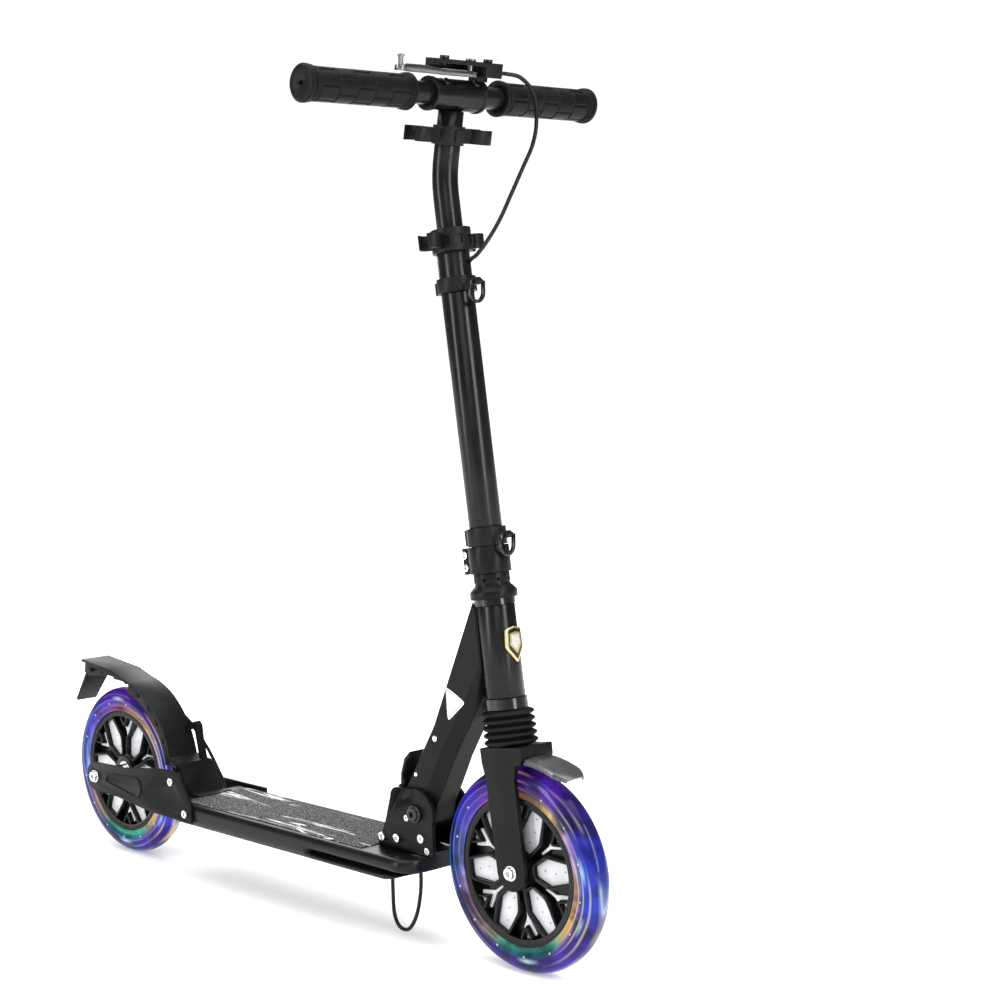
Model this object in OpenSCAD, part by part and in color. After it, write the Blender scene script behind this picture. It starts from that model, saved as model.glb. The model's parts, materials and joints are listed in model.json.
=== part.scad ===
// Folding kick scooter with light-up wheels, sprung fork, hand brake and fender brake.
// X points forward, Y to the rider's left, Z up. The origin is on the ground,
// halfway between the axles. Lengths are millimetres, angles degrees.

/* [Wheels] */
// Distance between the two axles
wheelbase = 655; // [635:1:680]
// Outer diameter of both tyres
wheel_d = 200; // [200:1:204]
// Width of a tyre
tyre_w = 30; // [26:1:30]
// Diameter of the rim seat that carries the tyre
rim_d = 155; // [150:1:157]
// Number of petals in each wheel
petals = 6; // [5:1:6]

/* [Steering] */
// Angle of the steering axis from vertical
rake = 8; // [7:0.5:9]
// Outer diameter of the lower stem tube
stem_d = 32; // [30:0.5:33]
// Outer diameter of the handlebar riser tube
riser_d = 25.4; // [24:0.1:26]
// Length of the handlebar from end to end
bar_w = 380; // [360:1:420]
// Length of one grip
grip_l = 130; // [110:1:132]
// Diameter of one grip between its flanges
grip_d = 32; // [30:0.5:33]

/* [Deck] */
// Width of the deck
deck_w = 104; // [100:1:106]
// Height of the deck's top face above the ground
deck_z = 94; // [92:1:95]
// Length of the grip tape
tape_l = 300; // [280:1:302]

/* [Rear fender] */
// Width of the rear fender
fender_w = 40; // [38:1:41]

/* [Hidden] */
$fn = 48;
wheel_r = wheel_d / 2;
rim_r = rim_d / 2;
rim_w = tyre_w - 4;
hub_w = 26;
axle_r = 4;
bearing_r = 11;
bearing_w = 7;
run = 0.05;
rear_x = -wheelbase / 2;
front_x = wheelbase / 2;

// Stations along the steering axis, measured up from the front axle
leg_in = 17.2;
leg_out = 22;
crown_s = [106, 120];
bellows_s = [120.4, 155.2];
lower_cup_s = [155.8, 166];
head_tube_s = [166.2, 256];
upper_cup_s = [256.2, 262];
cap_s = [262.4, 274.5];
rings_s = [274.5, 286.8];
clamp_s = [287.2, 313];
low_strap_s = [313.6, 331];
high_strap_s = [559.5, 573.5];
collar_s = [598.5, 619];
stem_top_s = 617;
bend_s = 671.5;
bar_at = [24.8, 746.5];
steerer_r = 13;
stem_r = stem_d / 2;
riser_r = riser_d / 2;
riser_in_s = 470;
bend_a = atan(bar_at[0] / (bar_at[1] - bend_s));

// Side-view places, measured forward from the rear axle and up from the ground
fold_at = [527, 137];
fender_pin_at = [118, 121];
fender_centre = [0, 108];
fender_r = 103.6;
base_r = 42;
neck_half = 20;
plate_in = 21.3;
plate_out = 25.3;
stay_in = 52.3;
stay_out = 55.3;
deck_x = [150, 540];
deck_t = 14;
tray_z = 68;
slot_x = 385;
disc_y = [24, 26];
caliper_at = [26, 145];
pedal_at = [503.5, 161];
eye_out = 11;
wire_r = 1.5;
loop_r = 7.4;
cap_t = 7;
spring_turns = 7;
spring_steps = 10;
lever_at = [14, 6, 24];
pedal_pin_at = [500, 160];
pedal_pin_r = 2.5;
cable_r = 2;
// Head radius, head height and shank radius of the plate and stay screws
small_screw = [3.2, 2, 2];
flat_screw = [3.6, 2.4, 2];
plate_screw = [4.4, 3, 2.5];
plate_screws = [[[478, 106], plate_screw], [[500, 108], plate_screw], [[536, 113.5], plate_screw],
  [[515, 131], small_screw], [[544, 102], flat_screw]];
stay_screws = [[[155, 117], plate_screw], [[180, 84], plate_screw]];
stay_screws_left = [[[160, 84], plate_screw], [[180, 84], plate_screw]];
stay_top_right = [[60, 119], [128, 128], [156, 130], [166, 124]];
stay_top_left = [[60, 119], [92, 114], [108, 97]];

// Cable from the bracket stop, down in a loop and up into the deck's nose
loop_points = [[536, -29, 96], [537, -29, 80], [536, -29, 60], [530, -29, 36], [520, -29, 20],
  [510, -29, 16], [501, -29, 20], [496, -29, 32], [495, -29, 50], [495, -29, 72]];
// Cable out of the back of the tray and up to the caliper
rear_points = [[166, 34, 75.5], [156, 35, 75.5], [146, 38, 76.5], [133, 42, 84], [117, 44, 102],
  [98, 44, 126], [80, 41.5, 147], [64, 38, 163], [50, 35.5, 171], [38, 35, 173.5]];
// Cable from the barrel adjuster, in front of the left grip, down into the stem
cable_points = [[599, 50.6, 863], [601, 64, 863], [605, 78, 854], [607, 83, 838], [607, 83, 818],
  [606, 78, 796], [604, 66, 774], [603, 50, 748], [603, 34, 724], [602, 18, 704],
  [597.5, 7.5, 690.2], [592.5, 5, 686.3], [588.8, 5, 683.4]];

// Colours
black = [0.06, 0.06, 0.065];
satin = [0.09, 0.09, 0.095];
silver = [0.72, 0.72, 0.74];
pale = [0.9, 0.91, 0.94];
glow = [0.3, 0.28, 0.95];

// ---------- frames ----------
// Puts children in the side-view frame: forward from the rear axle, up from the ground
module side_view() { translate([rear_x, 0, 0]) children(); }

// Turns an outline drawn as (forward, up) into a plate between two Y values
module plate(y0, y1) {
  translate([rear_x, y1, 0]) rotate([90, 0, 0]) linear_extrude(y1 - y0) children();
}

// Extrudes an outline drawn as (left, up) along X between two forward stations
module along_x(x0, x1) {
  translate([rear_x + x0, 0, 0]) rotate([90, 0, 90]) linear_extrude(x1 - x0) children();
}

// Puts children in the steering frame: Z along the steering axis, origin on the front axle
module steer() { translate([front_x, 0, wheel_r]) rotate([0, -rake, 0]) children(); }

// Puts children at the handlebar's middle, Z along the upper part of the riser
module bar() {
  steer() translate([bar_at[0], 0, bar_at[1]]) rotate([0, bend_a, 0]) children();
}

// A cylinder along Y between two Y values
module rod_y(r, y0, y1) {
  translate([0, y1, 0]) rotate([90, 0, 0]) cylinder(r = r, h = y1 - y0);
}

// A tube along Z
module tube(r, r_in, z0, z1) {
  difference() {
    translate([0, 0, z0]) cylinder(r = r, h = z1 - z0);
    translate([0, 0, z0 - 1]) cylinder(r = r_in, h = z1 - z0 + 2);
  }
}

// A socket-head screw along Z with its head up at z = 0
module cap_screw(head_r, head_h, shank_r, shank_l) {
  difference() {
    union() {
      cylinder(r = head_r, h = head_h);
      translate([0, 0, -shank_l]) cylinder(r = shank_r, h = shank_l + 0.5);
    }
    translate([0, 0, head_h * 0.4]) cylinder(r = head_r * 0.5, h = head_h, $fn = 6);
  }
}

// A screw whose head stands on the outer face at y, pointing to side -1 or 1.
// kind is its head radius, head height and shank radius
module side_screw(at, y, side, kind, shank_l) {
  translate([rear_x + at[0], y, at[1]]) rotate([-90 * side, 0, 0])
    cap_screw(kind[0], kind[1], kind[2], shank_l);
}

// Clearance holes in a plate's outline for a list of screws
module screw_holes(screws) {
  for (screw = screws) translate(screw[0]) circle(r = screw[1][2] + 0.02);
}

// ---------- swept cords ----------
function unit(v) = v / norm(v);
function tangent(p, i) =
  i == 0 ? unit(p[1] - p[0]) :
  i == len(p) - 1 ? unit(p[i] - p[i - 1]) : unit(p[i + 1] - p[i - 1]);
// Catmull-Rom point between p[i] and p[i + 1]
function spline(p, i, t) =
  let (a = p[max(i - 1, 0)], b = p[i], c = p[i + 1], d = p[min(i + 2, len(p) - 1)])
  0.5 * (2 * b + (c - a) * t + (2 * a - 5 * b + 4 * c - d) * t * t
    + (3 * b - a - 3 * c + d) * t * t * t);
function smooth(p, n) = concat(
  [for (i = [0:len(p) - 2], k = [0:n - 1]) spline(p, i, k / n)], [p[len(p) - 1]]);

// One closed tube along the points p, with the reference direction up
module sweep(p, r, sides, up) {
  rings = [for (i = [0:len(p) - 1])
    let (t = tangent(p, i), u = unit(cross(up, t)), v = cross(t, u))
    [for (k = [0:sides - 1]) p[i] + r * (cos(360 * k / sides) * u + sin(360 * k / sides) * v)]];
  pts = [for (ring = rings, q = ring) q];
  last = (len(p) - 1) * sides;
  walls = [for (i = [0:len(p) - 2], k = [0:sides - 1])
    let (a = i * sides + k, b = i * sides + (k + 1) % sides) [a, a + sides, b + sides, b]];
  caps = [[for (k = [0:sides - 1]) k], [for (k = [sides - 1:-1:0]) last + k]];
  polyhedron(points = pts, faces = concat(walls, caps), convexity = 8);
}

// ---------- wheels ----------
// Elongated hexagon of one petal, pointing along +X, grown by g
module petal_outline(g = 0) {
  polygon([[20 - g, -5 - g], [38, -13.5 - g * 1.2], [66 + g, -8.5 - g],
    [66 + g, 8.5 + g], [38, 13.5 + g * 1.2], [20 - g, 5 + g]]);
}

// Small triangle between two petals, close to the rim, grown by g
module window_outline(g = 0) {
  polygon([[57 - 2 * g, 0], [66 + g, -6 - 1.6 * g], [66 + g, 6 + 1.6 * g]]);
}

// Y-shaped inlay between two petals
module inlay_outline() {
  difference() {
    polygon([[33, -1.2], [46, -1.6], [61, -10], [64, -6.5], [64, 6.5], [61, 10],
      [46, 1.6], [33, 1.2]]);
    window_outline(2.6);
    for (s = [-1, 1]) rotate(s * 180 / petals) petal_outline(2.6);
    translate([66, -20]) square([10, 40]);
  }
}

module wheel_ribs() {
  difference() {
    union() {
      circle(r = 19);
      for (k = [0:petals - 1]) {
        rotate(360 * k / petals) petal_outline(2.4);
        rotate(360 * (k + 0.5) / petals) window_outline(2.2);
      }
    }
    for (k = [0:petals - 1]) {
      rotate(360 * k / petals) petal_outline();
      rotate(360 * (k + 0.5) / petals) window_outline();
    }
    circle(r = bearing_r - 2);
  }
}

// Centred slab of an outline, drawn in the wheel's plane, normal to Y
module wheel_slab(w) { rotate([90, 0, 0]) linear_extrude(w, center = true) children(); }

module wheel_rim() {
  difference() {
    union() {
      rotate([90, 0, 0]) rotate_extrude() difference() {
        translate([66, -rim_w / 2]) square([rim_r - 66, rim_w]);
        translate([60, -rim_w / 2 + 3]) square([8, rim_w - 6]);
      }
      intersection() {
        wheel_slab(20) wheel_ribs();
        rod_y(67.5, -10, 10);
      }
      difference() {
        rod_y(66.5, -3, 3);
        wheel_slab(8) for (k = [0:petals - 1]) {
          rotate(360 * k / petals) petal_outline();
          rotate(360 * (k + 0.5) / petals) window_outline();
        }
      }
      rod_y(17, -hub_w / 2, hub_w / 2);
    }
    rod_y(bearing_r - 2, -hub_w, hub_w);
    for (s = [-1, 1])
      rod_y(bearing_r + 0.02, s > 0 ? hub_w / 2 - bearing_w : -hub_w,
        s > 0 ? hub_w : -hub_w / 2 + bearing_w);
  }
}

module wheel_petals() {
  wheel_slab(13) for (k = [0:petals - 1]) {
    rotate(360 * k / petals) petal_outline(-0.15);
    rotate(360 * (k + 0.5) / petals) window_outline(-0.3);
  }
  for (s = [-1, 1]) translate([0, s * 4.6, 0])
    wheel_slab(2.8) for (k = [0:petals - 1]) rotate(360 * (k + 0.5) / petals) inlay_outline();
}

module wheel_tyre() {
  rotate([90, 0, 0]) rotate_extrude($fn = 96) intersection() {
    union() {
      translate([wheel_r - tyre_w / 2, 0]) circle(r = tyre_w / 2);
      translate([rim_r + 0.05, -rim_w / 2]) square([10, rim_w]);
    }
    translate([rim_r + 0.05, -tyre_w]) square([tyre_w, 2 * tyre_w]);
  }
}

module wheel_bearings() {
  for (s = [-1, 1]) translate([0, s * (hub_w - bearing_w) / 2, 0]) rotate([90, 0, 0])
    translate([0, 0, -bearing_w / 2]) tube(bearing_r, axle_r + run, 0, bearing_w);
}

module at_rear() { translate([rear_x, 0, wheel_r]) children(); }
module rear_tyre() { color(glow) at_rear() wheel_tyre(); }
module rear_rim() { color(black) at_rear() wheel_rim(); }
module rear_petals() { color(pale) at_rear() wheel_petals(); }
module rear_bearings() { color(silver) at_rear() wheel_bearings(); }
module front_tyre() { color(glow) steer() wheel_tyre(); }
module front_rim() { color(black) steer() wheel_rim(); }
module front_petals() { color(pale) steer() wheel_petals(); }
module front_bearings() { color(silver) steer() wheel_bearings(); }

// ---------- deck ----------
// Section of the deck's upper extrusion: flat, with half-round edges, square below at the rear
module deck_section(square_below) {
  edge = deck_t / 2;
  w = square_below ? deck_w : deck_w - deck_t;
  translate([-deck_w / 2 + edge, deck_z - deck_t]) square([deck_w - deck_t, deck_t]);
  translate([-w / 2, deck_z - deck_t]) square([w, edge]);
  for (s = [-1, 1]) translate([s * (deck_w / 2 - edge), deck_z - edge]) circle(r = edge);
}

// Plan of the deck: square at the rear, corners rounded by r at the front
module deck_plan(w, x1, r) {
  translate([0, -w / 2]) square([x1 - r, w]);
  translate([0, -w / 2 + r]) square([x1, w - 2 * r]);
  for (s = [-1, 1]) translate([x1 - r, s * (w / 2 - r)]) circle(r = r);
}

module deck_platform() {
  cable_hole = loop_points[0];
  color(satin) difference() {
    intersection() {
      union() {
        along_x(deck_x[0], deck_x[1]) deck_section(false);
        along_x(deck_x[0], slot_x) deck_section(true);
      }
      side_view() translate([0, 0, deck_z - 2 * deck_t]) linear_extrude(3 * deck_t)
        deck_plan(deck_w, deck_x[1], 22);
    }
    for (s = [-1, 1]) along_x(deck_x[0] - 1, deck_x[1] - 60)
      translate([s * 22 - 19, deck_z - deck_t + 3]) square([38, deck_t - 6]);
    translate([rear_x + cable_hole[0] + 0.5, cable_hole[1], tray_z])
      cylinder(r = cable_r + 0.9, h = 30);
  }
}

// Section of the tray from its right side, mirrored
module tray_section(side) {
  n = len(side);
  polygon([for (k = [0:n - 1]) [-side[k][0], side[k][1]],
    for (k = [n - 1:-1:0]) side[k]]);
}

module deck_tray() {
  cable_hole = loop_points[len(loop_points) - 1];
  top = deck_z - deck_t - 0.05;
  nose = deck_x[1] - 14;
  color(satin) difference() {
    intersection() {
      union() {
        along_x(deck_x[0] + 6, nose) tray_section([[49, top], [49, top - 4], [43, tray_z]]);
        along_x(deck_x[0] + 6, slot_x) tray_section([[52, top], [51.6, top - 2],
          [50, top - 6], [47.4, top - 9.2], [43, tray_z]]);
      }
      side_view() translate([0, 0, tray_z - 5]) linear_extrude(30) deck_plan(104, nose, 32);
      plate(-60, 60) polygon([[150, top], [150, tray_z], [nose - 26, tray_z],
        [nose - 10, tray_z + 2.5], [nose, tray_z + 7], [nose, top - 4.6], [slot_x, top - 4.6],
        [slot_x, top]]);
    }
    along_x(deck_x[0], nose - 60) translate([-38, tray_z + 3]) square([76, top - tray_z - 3.1]);
    translate([rear_x + cable_hole[0], cable_hole[1], tray_z - 1])
      cylinder(r = cable_r + 0.2, h = 6);
  }
}

module grip_tape() {
  color([0.13, 0.13, 0.14]) side_view() translate([165, 0, deck_z + 0.05]) linear_extrude(1)
    difference() {
      translate([0, -44]) square([tape_l, 88]);
      for (s = [-1, 1]) translate([0, s * 44]) rotate(45) square(8, center = true);
    }
}

// Side plate of the folding bracket
module bracket_outline() {
  difference() {
    union() {
      polygon([[471, 97], [482, 123], [490, 150], [500, 160], fold_at + [-8, 24.4],
        fold_at, fold_at + [24, -6], [551, 110], [551, 97]]);
      translate(fold_at) circle(r = 25);
      translate([500, 150]) circle(r = 10);
    }
    translate(fold_at) circle(r = 6.02);
    screw_holes(plate_screws);
  }
}

module bracket_plate_right() { color(black) plate(-plate_out, -plate_in) bracket_outline(); }
module bracket_plate_left() { color(black) plate(plate_in, plate_out) bracket_outline(); }

module bracket_base() {
  color(black) difference() {
    plate(-plate_in + 0.05, plate_in - 0.05)
      polygon([[466, deck_z + 0.05], [466, 107], [474, 111], [488, 111], [551, 104],
        [551, 100], [541, deck_z + 0.05]]);
    translate([rear_x + fold_at[0], 0, fold_at[1]]) rod_y(base_r, -30, 30);
  }
}

module deck_bolts() {
  color(silver) for (s = [-1, 1]) {
    for (screw = plate_screws)
      side_screw(screw[0], s * (plate_out + 0.05), s, screw[1], plate_out - plate_in - 0.1);
    for (screw = s < 0 ? stay_screws : stay_screws_left)
      side_screw(screw[0], s * (stay_out + 0.05), s, screw[1], stay_out - stay_in - 0.1);
  }
}

// ---------- rear frame ----------
module stay_outline(top, screws) {
  difference() {
    union() {
      translate([0, wheel_r]) circle(r = 17);
      polygon([[0, 117], each top, [190, 97], [190, 74], [110, 75], [46, 82], [0, 83]]);
    }
    translate([0, wheel_r]) circle(r = axle_r + 0.1);
    screw_holes(screws);
  }
}

// Raised rib in the shape of a teardrop on the outside of a stay
module stay_rib_outline() {
  difference() {
    hull() {
      translate([26, 101]) circle(r = 6, $fn = 32);
      translate([82, 99]) circle(r = 13, $fn = 32);
    }
    hull() {
      translate([28, 101]) circle(r = 3.6, $fn = 32);
      translate([81, 99]) circle(r = 10, $fn = 32);
    }
  }
}

module stay_right() {
  color(black) {
    plate(-stay_out, -stay_in) stay_outline(stay_top_right, stay_screws);
    plate(-stay_out - 1.2, -stay_out + 0.4) stay_rib_outline();
  }
}

module stay_left() {
  color(black) {
    plate(stay_in, stay_out) stay_outline(stay_top_left, stay_screws_left);
    plate(stay_out - 0.4, stay_out + 1.2) stay_rib_outline();
  }
}

module axle_end(y, side) {
  translate([0, y, 0]) rotate([-90 * side, 0, 0]) difference() {
    union() {
      cylinder(r = 7.5, h = 1.2);
      cylinder(r = 5.8, h = 4.6);
    }
    translate([0, 0, 2]) cylinder(r = 2.6, h = 4, $fn = 6);
  }
}

module rear_axle() {
  color(silver) at_rear() {
    rod_y(axle_r, -stay_out - 0.5, stay_out + 0.5);
    for (s = [-1, 1]) axle_end(s * (stay_out + 0.06), s);
    for (s = [-1, 1]) {
      a = s > 0 ? hub_w / 2 + 0.3 : -stay_in + 0.1;
      b = s > 0 ? stay_in - 0.1 : -hub_w / 2 - 0.3;
      difference() {
        rod_y(8, a, b);
        rod_y(axle_r + 0.02, a - 1, b + 1);
      }
    }
  }
}

// Hook on the fender's bracket that holds the folded handlebar
module fold_hook() {
  plate(12, 20) polygon([[119, 127.4], [124, 127.4], [118.5, 150], [116.5, 166], [112, 171],
    [94, 165], [95.5, 158], [108, 161.5], [111.5, 159]]);
}

// Sheet bracket that carries the fender hinge: two ears, a sloping front and the hook
module fender_bracket() {
  top = [[110, 127.5], [126, 127.5], [150, 96]];
  color(black) {
    difference() {
      union() {
        for (s = [-1, 1]) plate(s > 0 ? 20.5 : -23, s > 0 ? 23 : -20.5)
          polygon([[108, 88], [108, 124], top[0], top[1], top[2], [150, 88]]);
        plate(-23, 23) polygon([[123.6, 127.5], top[1], top[2], [164, 96], [164, 94.1],
          [148.5, 94.1]]);
      }
      translate([rear_x + fender_pin_at[0], 0, fender_pin_at[1]]) rod_y(3.1, -30, 30);
    }
    plate(-52.2, -23) polygon([[140, 88], [140, 110], [149, 110], [149, 88]]);
    plate(23, 52.2) polygon([[143, 84.5], [143, 93], [149, 93], [149, 84.5]]);
    fold_hook();
    plate(12, 20) polygon([[119, 127.4], [126, 127.4], [126, 128.4], [119, 128.4]]);
  }
}

module hinge_pins() {
  color(silver) {
    translate([rear_x + fold_at[0], 0, fold_at[1]]) {
      rod_y(6, -plate_out - 1, plate_out + 1);
      for (s = [-1, 1]) translate([0, s * (plate_out + 0.1), 0]) rotate([-90 * s, 0, 0])
        difference() {
          union() {
            cylinder(r = 9, h = 3);
            cylinder(r = 7, h = 6);
          }
          translate([0, 0, 3]) cylinder(r = 3, h = 4, $fn = 6);
        }
    }
    translate([rear_x + fender_pin_at[0], 0, fender_pin_at[1]]) {
      rod_y(3, -23.4, 23.4);
      for (s = [-1, 1]) rod_y(4.5, s > 0 ? 23.1 : -25, s > 0 ? 25 : -23.1);
    }
  }
}

// ---------- rear fender ----------
// The fender seen from the side: an arch round the tyre, then a flat tail
module fender_shell_outline() {
  c = fender_centre;
  difference() {
    union() {
      translate(c) circle(r = fender_r + 3);
      polygon([c + [0, 90], c + [37.6, 99.2], [-8, 221.5], [-74, 229], [-75, 226.2],
        [-30, 220], c + [-24, 104.2], c + [-40, 94]]);
    }
    translate(c) circle(r = fender_r);
    polygon([c, c + [140, 13], c + [140, -150], c + [-200, -150], c + [-200, 60],
      [-60, 224], [-28, 216.8], c + [-6, 106]]);
  }
}

module skirt_outline() {
  c = fender_centre;
  difference() {
    intersection() {
      translate(c) circle(r = fender_r - 0.05);
      polygon([c, c + [140, 20], c + [140, 140], c + [34, 140]]);
    }
    translate(c + [-2, -5]) circle(r = fender_r - 5);
    for (a = [25:13:64]) translate(c) rotate(a)
      polygon([[98.5, -3.4], [101.5, -4.4], [101.5, 4.4]]);
  }
}

module rear_fender() {
  half = fender_w / 2;
  color(black) {
    plate(-half, half) fender_shell_outline();
    for (s = [-1, 1]) {
      plate(s > 0 ? half - 2.6 : -half, s > 0 ? half : -half + 2.6) difference() {
        polygon([[-66, 226.5], [-68, 214], [-58, 210], [-24, 214.5], [2, 216], [20, 208],
          [16, 213], [-8, 220], [-30, 222]]);
        polygon([[-54, 221.5], [-54, 215.5], [-38, 219]]);
        polygon([[-28, 219.4], [-32, 216], [-10, 217.5]]);
      }
    }
    difference() {
      union() {
        plate(-14, 14) polygon([[-64, 225], [-68, 213.5], [-60, 211], [-55, 223]]);
        plate(-half, half) polygon([[102, 131], [104.6, 121], [113, 117], [119, 125.5],
          [105.4, 132]]);
        translate([rear_x + fender_pin_at[0], 0, fender_pin_at[1]]) rod_y(6, -half, half);
      }
      translate([rear_x + fender_pin_at[0], 0, fender_pin_at[1]]) rod_y(3 + run, -30, 30);
    }
  }
}

// Side walls with windows, clipped under the arch on both sides of the tyre
module fender_skirts() {
  half = fender_w / 2;
  color(black) for (s = [-1, 1])
    plate(s > 0 ? half - 2.6 : -half, s > 0 ? half : -half + 2.6) skirt_outline();
}

// Flap that hangs from the fender's tail, leaning back
module flap_outline(a, b, half0, half1) {
  polygon([[a, -half0], [b, -half1], [b, half1], [a, half0]]);
}
module at_flap() {
  side_view() translate([-68, 0, 213]) rotate([0, 128, 0]) children();
}
module mud_flap() {
  color(black) at_flap() difference() {
    union() {
      linear_extrude(2.6) flap_outline(0, 47, 17, 13.5);
      translate([0, 0, -1.2]) linear_extrude(1.4) difference() {
        flap_outline(1.5, 47, 17, 13.5);
        flap_outline(4, 44.5, 14.5, 11.5);
      }
    }
  }
}
module reflector() {
  color([0.85, 0.06, 0.05]) at_flap() translate([0, 0, -1.05]) linear_extrude(1)
    for (k = [0:3]) flap_outline(4.4 + 10 * k, 13.8 + 10 * k, 14 - 0.75 * k, 13.4 - 0.75 * k);
}

// ---------- rear disc brake ----------
module brake_disc() {
  color(silver) at_rear() difference() {
    union() {
      rod_y(56, disc_y[0], disc_y[1]);
      rod_y(17, hub_w / 2 + 0.05, disc_y[1]);
    }
    rod_y(10, 0, 40);
    for (k = [0:5]) rotate([0, 60 * k, 0]) translate([31, 0, 0]) rod_y(8, 22, 30);
    for (k = [0:17]) rotate([0, 20 * k, 0]) translate([49, 0, 0]) rod_y(2, 22, 30);
  }
}

module brake_caliper() {
  color(satin) side_view() difference() {
    union() {
      translate([caliper_at[0] - 13, 18.5, caliper_at[1] - 8]) cube([26, 14, 18]);
      translate([caliper_at[0] + 3, 30, 116]) cube([8, 22.2, 32]);
    }
    translate([0, 0, wheel_r]) rod_y(57.5, disc_y[0] - 1, disc_y[1] + 1);
    translate([caliper_at[0] - 4, 0, caliper_at[1] + 4]) rod_y(3 + run, 28, 40);
  }
}

module caliper_arm() {
  at = [caliper_at[0] - 4, caliper_at[1] + 4];
  color(silver) side_view() {
    translate([at[0], 0, at[1]]) rod_y(3, 28.5, 37);
    translate([at[0], 37, at[1]]) rotate([90, 0, 0]) linear_extrude(4) hull() {
      circle(r = 6, $fn = 32);
      translate([-4, 24]) circle(r = 4, $fn = 32);
    }
  }
}

module brake_cable_lower() {
  color(black) side_view() {
    sweep(smooth(loop_points, 3), cable_r, 8, [0, 1, 0]);
    sweep(smooth(rear_points, 2), cable_r, 8, [0.2, 1, 0.3]);
  }
}

// ---------- neck ----------
module neck_outline() {
  translate(fold_at) circle(r = 17);
  polygon([[505, 157], [548, 229], [603, 356], [622, 356], [629, 290], [572, 197],
    fold_at + [19, 9], fold_at + [10, -13.7], fold_at + [-13.7, -10]]);
}

// Wedge in front view that narrows the neck towards the head tube, less a wall t
module neck_taper(t = 0) {
  low = neck_half - t;
  high = neck_half - 2.6 - t;
  translate([rear_x + 470, 0, 0]) rotate([90, 0, 90]) linear_extrude(200)
    polygon([[-low, 100], [-low, 160], [-high, 360], [high, 360], [low, 160], [low, 100]]);
}

// Ear at the back of the neck that carries one end of the pedal's pin
module pedal_ear() {
  hull() {
    translate(pedal_pin_at) circle(r = 4.5, $fn = 32);
    translate([516, 158]) circle(r = 6, $fn = 32);
  }
}

module neck_beam() {
  color(black) difference() {
    intersection() {
      union() {
        plate(-neck_half, neck_half) neck_outline();
        for (y = [-neck_half, neck_half - 1.7]) plate(y, y + 1.7) pedal_ear();
      }
      neck_taper();
    }
    intersection() {
      plate(-neck_half + 3, neck_half - 3) difference() {
        offset(delta = -3) neck_outline();
        translate(fold_at) circle(r = 24);
      }
      neck_taper(3);
    }
    steer() {
      translate([0, 0, 120]) cylinder(r = 19.05, h = 160);
      translate([0, 0, 120]) cylinder(r = 20.6, h = lower_cup_s[1] - 119.9);
      translate([0, 0, upper_cup_s[0] - 0.1]) cylinder(r = 20.6, h = 20);
    }
    translate([rear_x + fold_at[0], 0, fold_at[1]]) rod_y(6 + run, -30, 30);
    translate([rear_x + pedal_pin_at[0], 0, pedal_pin_at[1]]) rod_y(pedal_pin_r + run, -30, 30);
  }
}

module head_tube() {
  color(black) steer() tube(19, 16.5, head_tube_s[0], head_tube_s[1]);
}

module neck_rivets() {
  color(silver) for (s = [-1, 1]) {
    side_screw([552, 216], s * 19.4, s, [3, 1.4, 1.6], 2.2);
    side_screw([524, 176], s * 20.05, s, [2.2, 1, 1.4], 2.2);
  }
}

// Blank shield on the head tube and blank triangle on the neck's right side
module neck_labels() {
  color([0.75, 0.62, 0.3]) steer() intersection() {
    tube(19.6, 19.06, 208, 240);
    rotate([90, 0, 90]) linear_extrude(30) union() {
      translate([-8, 221]) square([16, 14]);
      polygon([[-8, 221], [0, 212], [8, 221]]);
    }
  }
  color([0.9, 0.87, 0.84]) intersection() {
    plate(-19.9, -18) hull() {
      translate([572, 256]) circle(r = 2, $fn = 24);
      translate([566, 236]) circle(r = 2, $fn = 24);
      translate([586, 243]) circle(r = 2, $fn = 24);
    }
    translate([rear_x + 470, 0, 0]) rotate([90, 0, 90]) linear_extrude(200)
      polygon([[-20.55, 160], [-17.95, 360], [-17.45, 360], [-20.05, 160]]);
  }
}

module headset_cups() {
  color(silver) steer() {
    tube(20.5, steerer_r + run, lower_cup_s[0], lower_cup_s[1]);
    tube(16.45, steerer_r + run, lower_cup_s[1], lower_cup_s[1] + 9);
    tube(20, steerer_r + run, upper_cup_s[0], upper_cup_s[1]);
    tube(16.45, steerer_r + run, upper_cup_s[0] - 9, upper_cup_s[0]);
  }
}

// Foot pedal behind the neck that frees the fold
module release_pedal() {
  color(black) {
    plate(-18, 18) polygon([pedal_at + [-5, -2], pedal_at + [-4.4, 12], pedal_at + [1, 28],
      pedal_at + [9, 36], pedal_at + [10.5, 33.6], pedal_at + [4, 26],
      pedal_at + [-1.6, 11], pedal_at + [-1.4, -2]]);
    for (s = [-1, 1]) plate(s > 0 ? 16 : -18, s > 0 ? 18 : -16)
      polygon([pedal_at + [-5, -3], pedal_at + [-3, 8], pedal_at + [0.6, 5], pedal_at + [-1, -3]]);
    translate([rear_x + pedal_pin_at[0], 0, pedal_pin_at[1]])
      rod_y(pedal_pin_r, -neck_half, neck_half);
  }
}

// ---------- steering column ----------
module stem_tube() {
  color(black) steer() {
    difference() {
      union() {
        translate([0, 0, clamp_s[0]]) cylinder(r = stem_r, h = stem_top_s - clamp_s[0]);
        translate([0, 0, 140]) cylinder(r = steerer_r, h = clamp_s[0] - 140 + 1);
      }
      translate([0, 0, 139]) cylinder(r = 10.5, h = 113);
      translate([0, 0, 256]) cylinder(r = 10.5, h = clamp_s[0] - 250);
      translate([0, 0, clamp_s[0] + 4]) cylinder(r = riser_r + run, h = 400);
      translate([0, 5, 578]) rotate([0, 60, 0]) cylinder(r = 2.6, h = 30);
    }
  }
}

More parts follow.
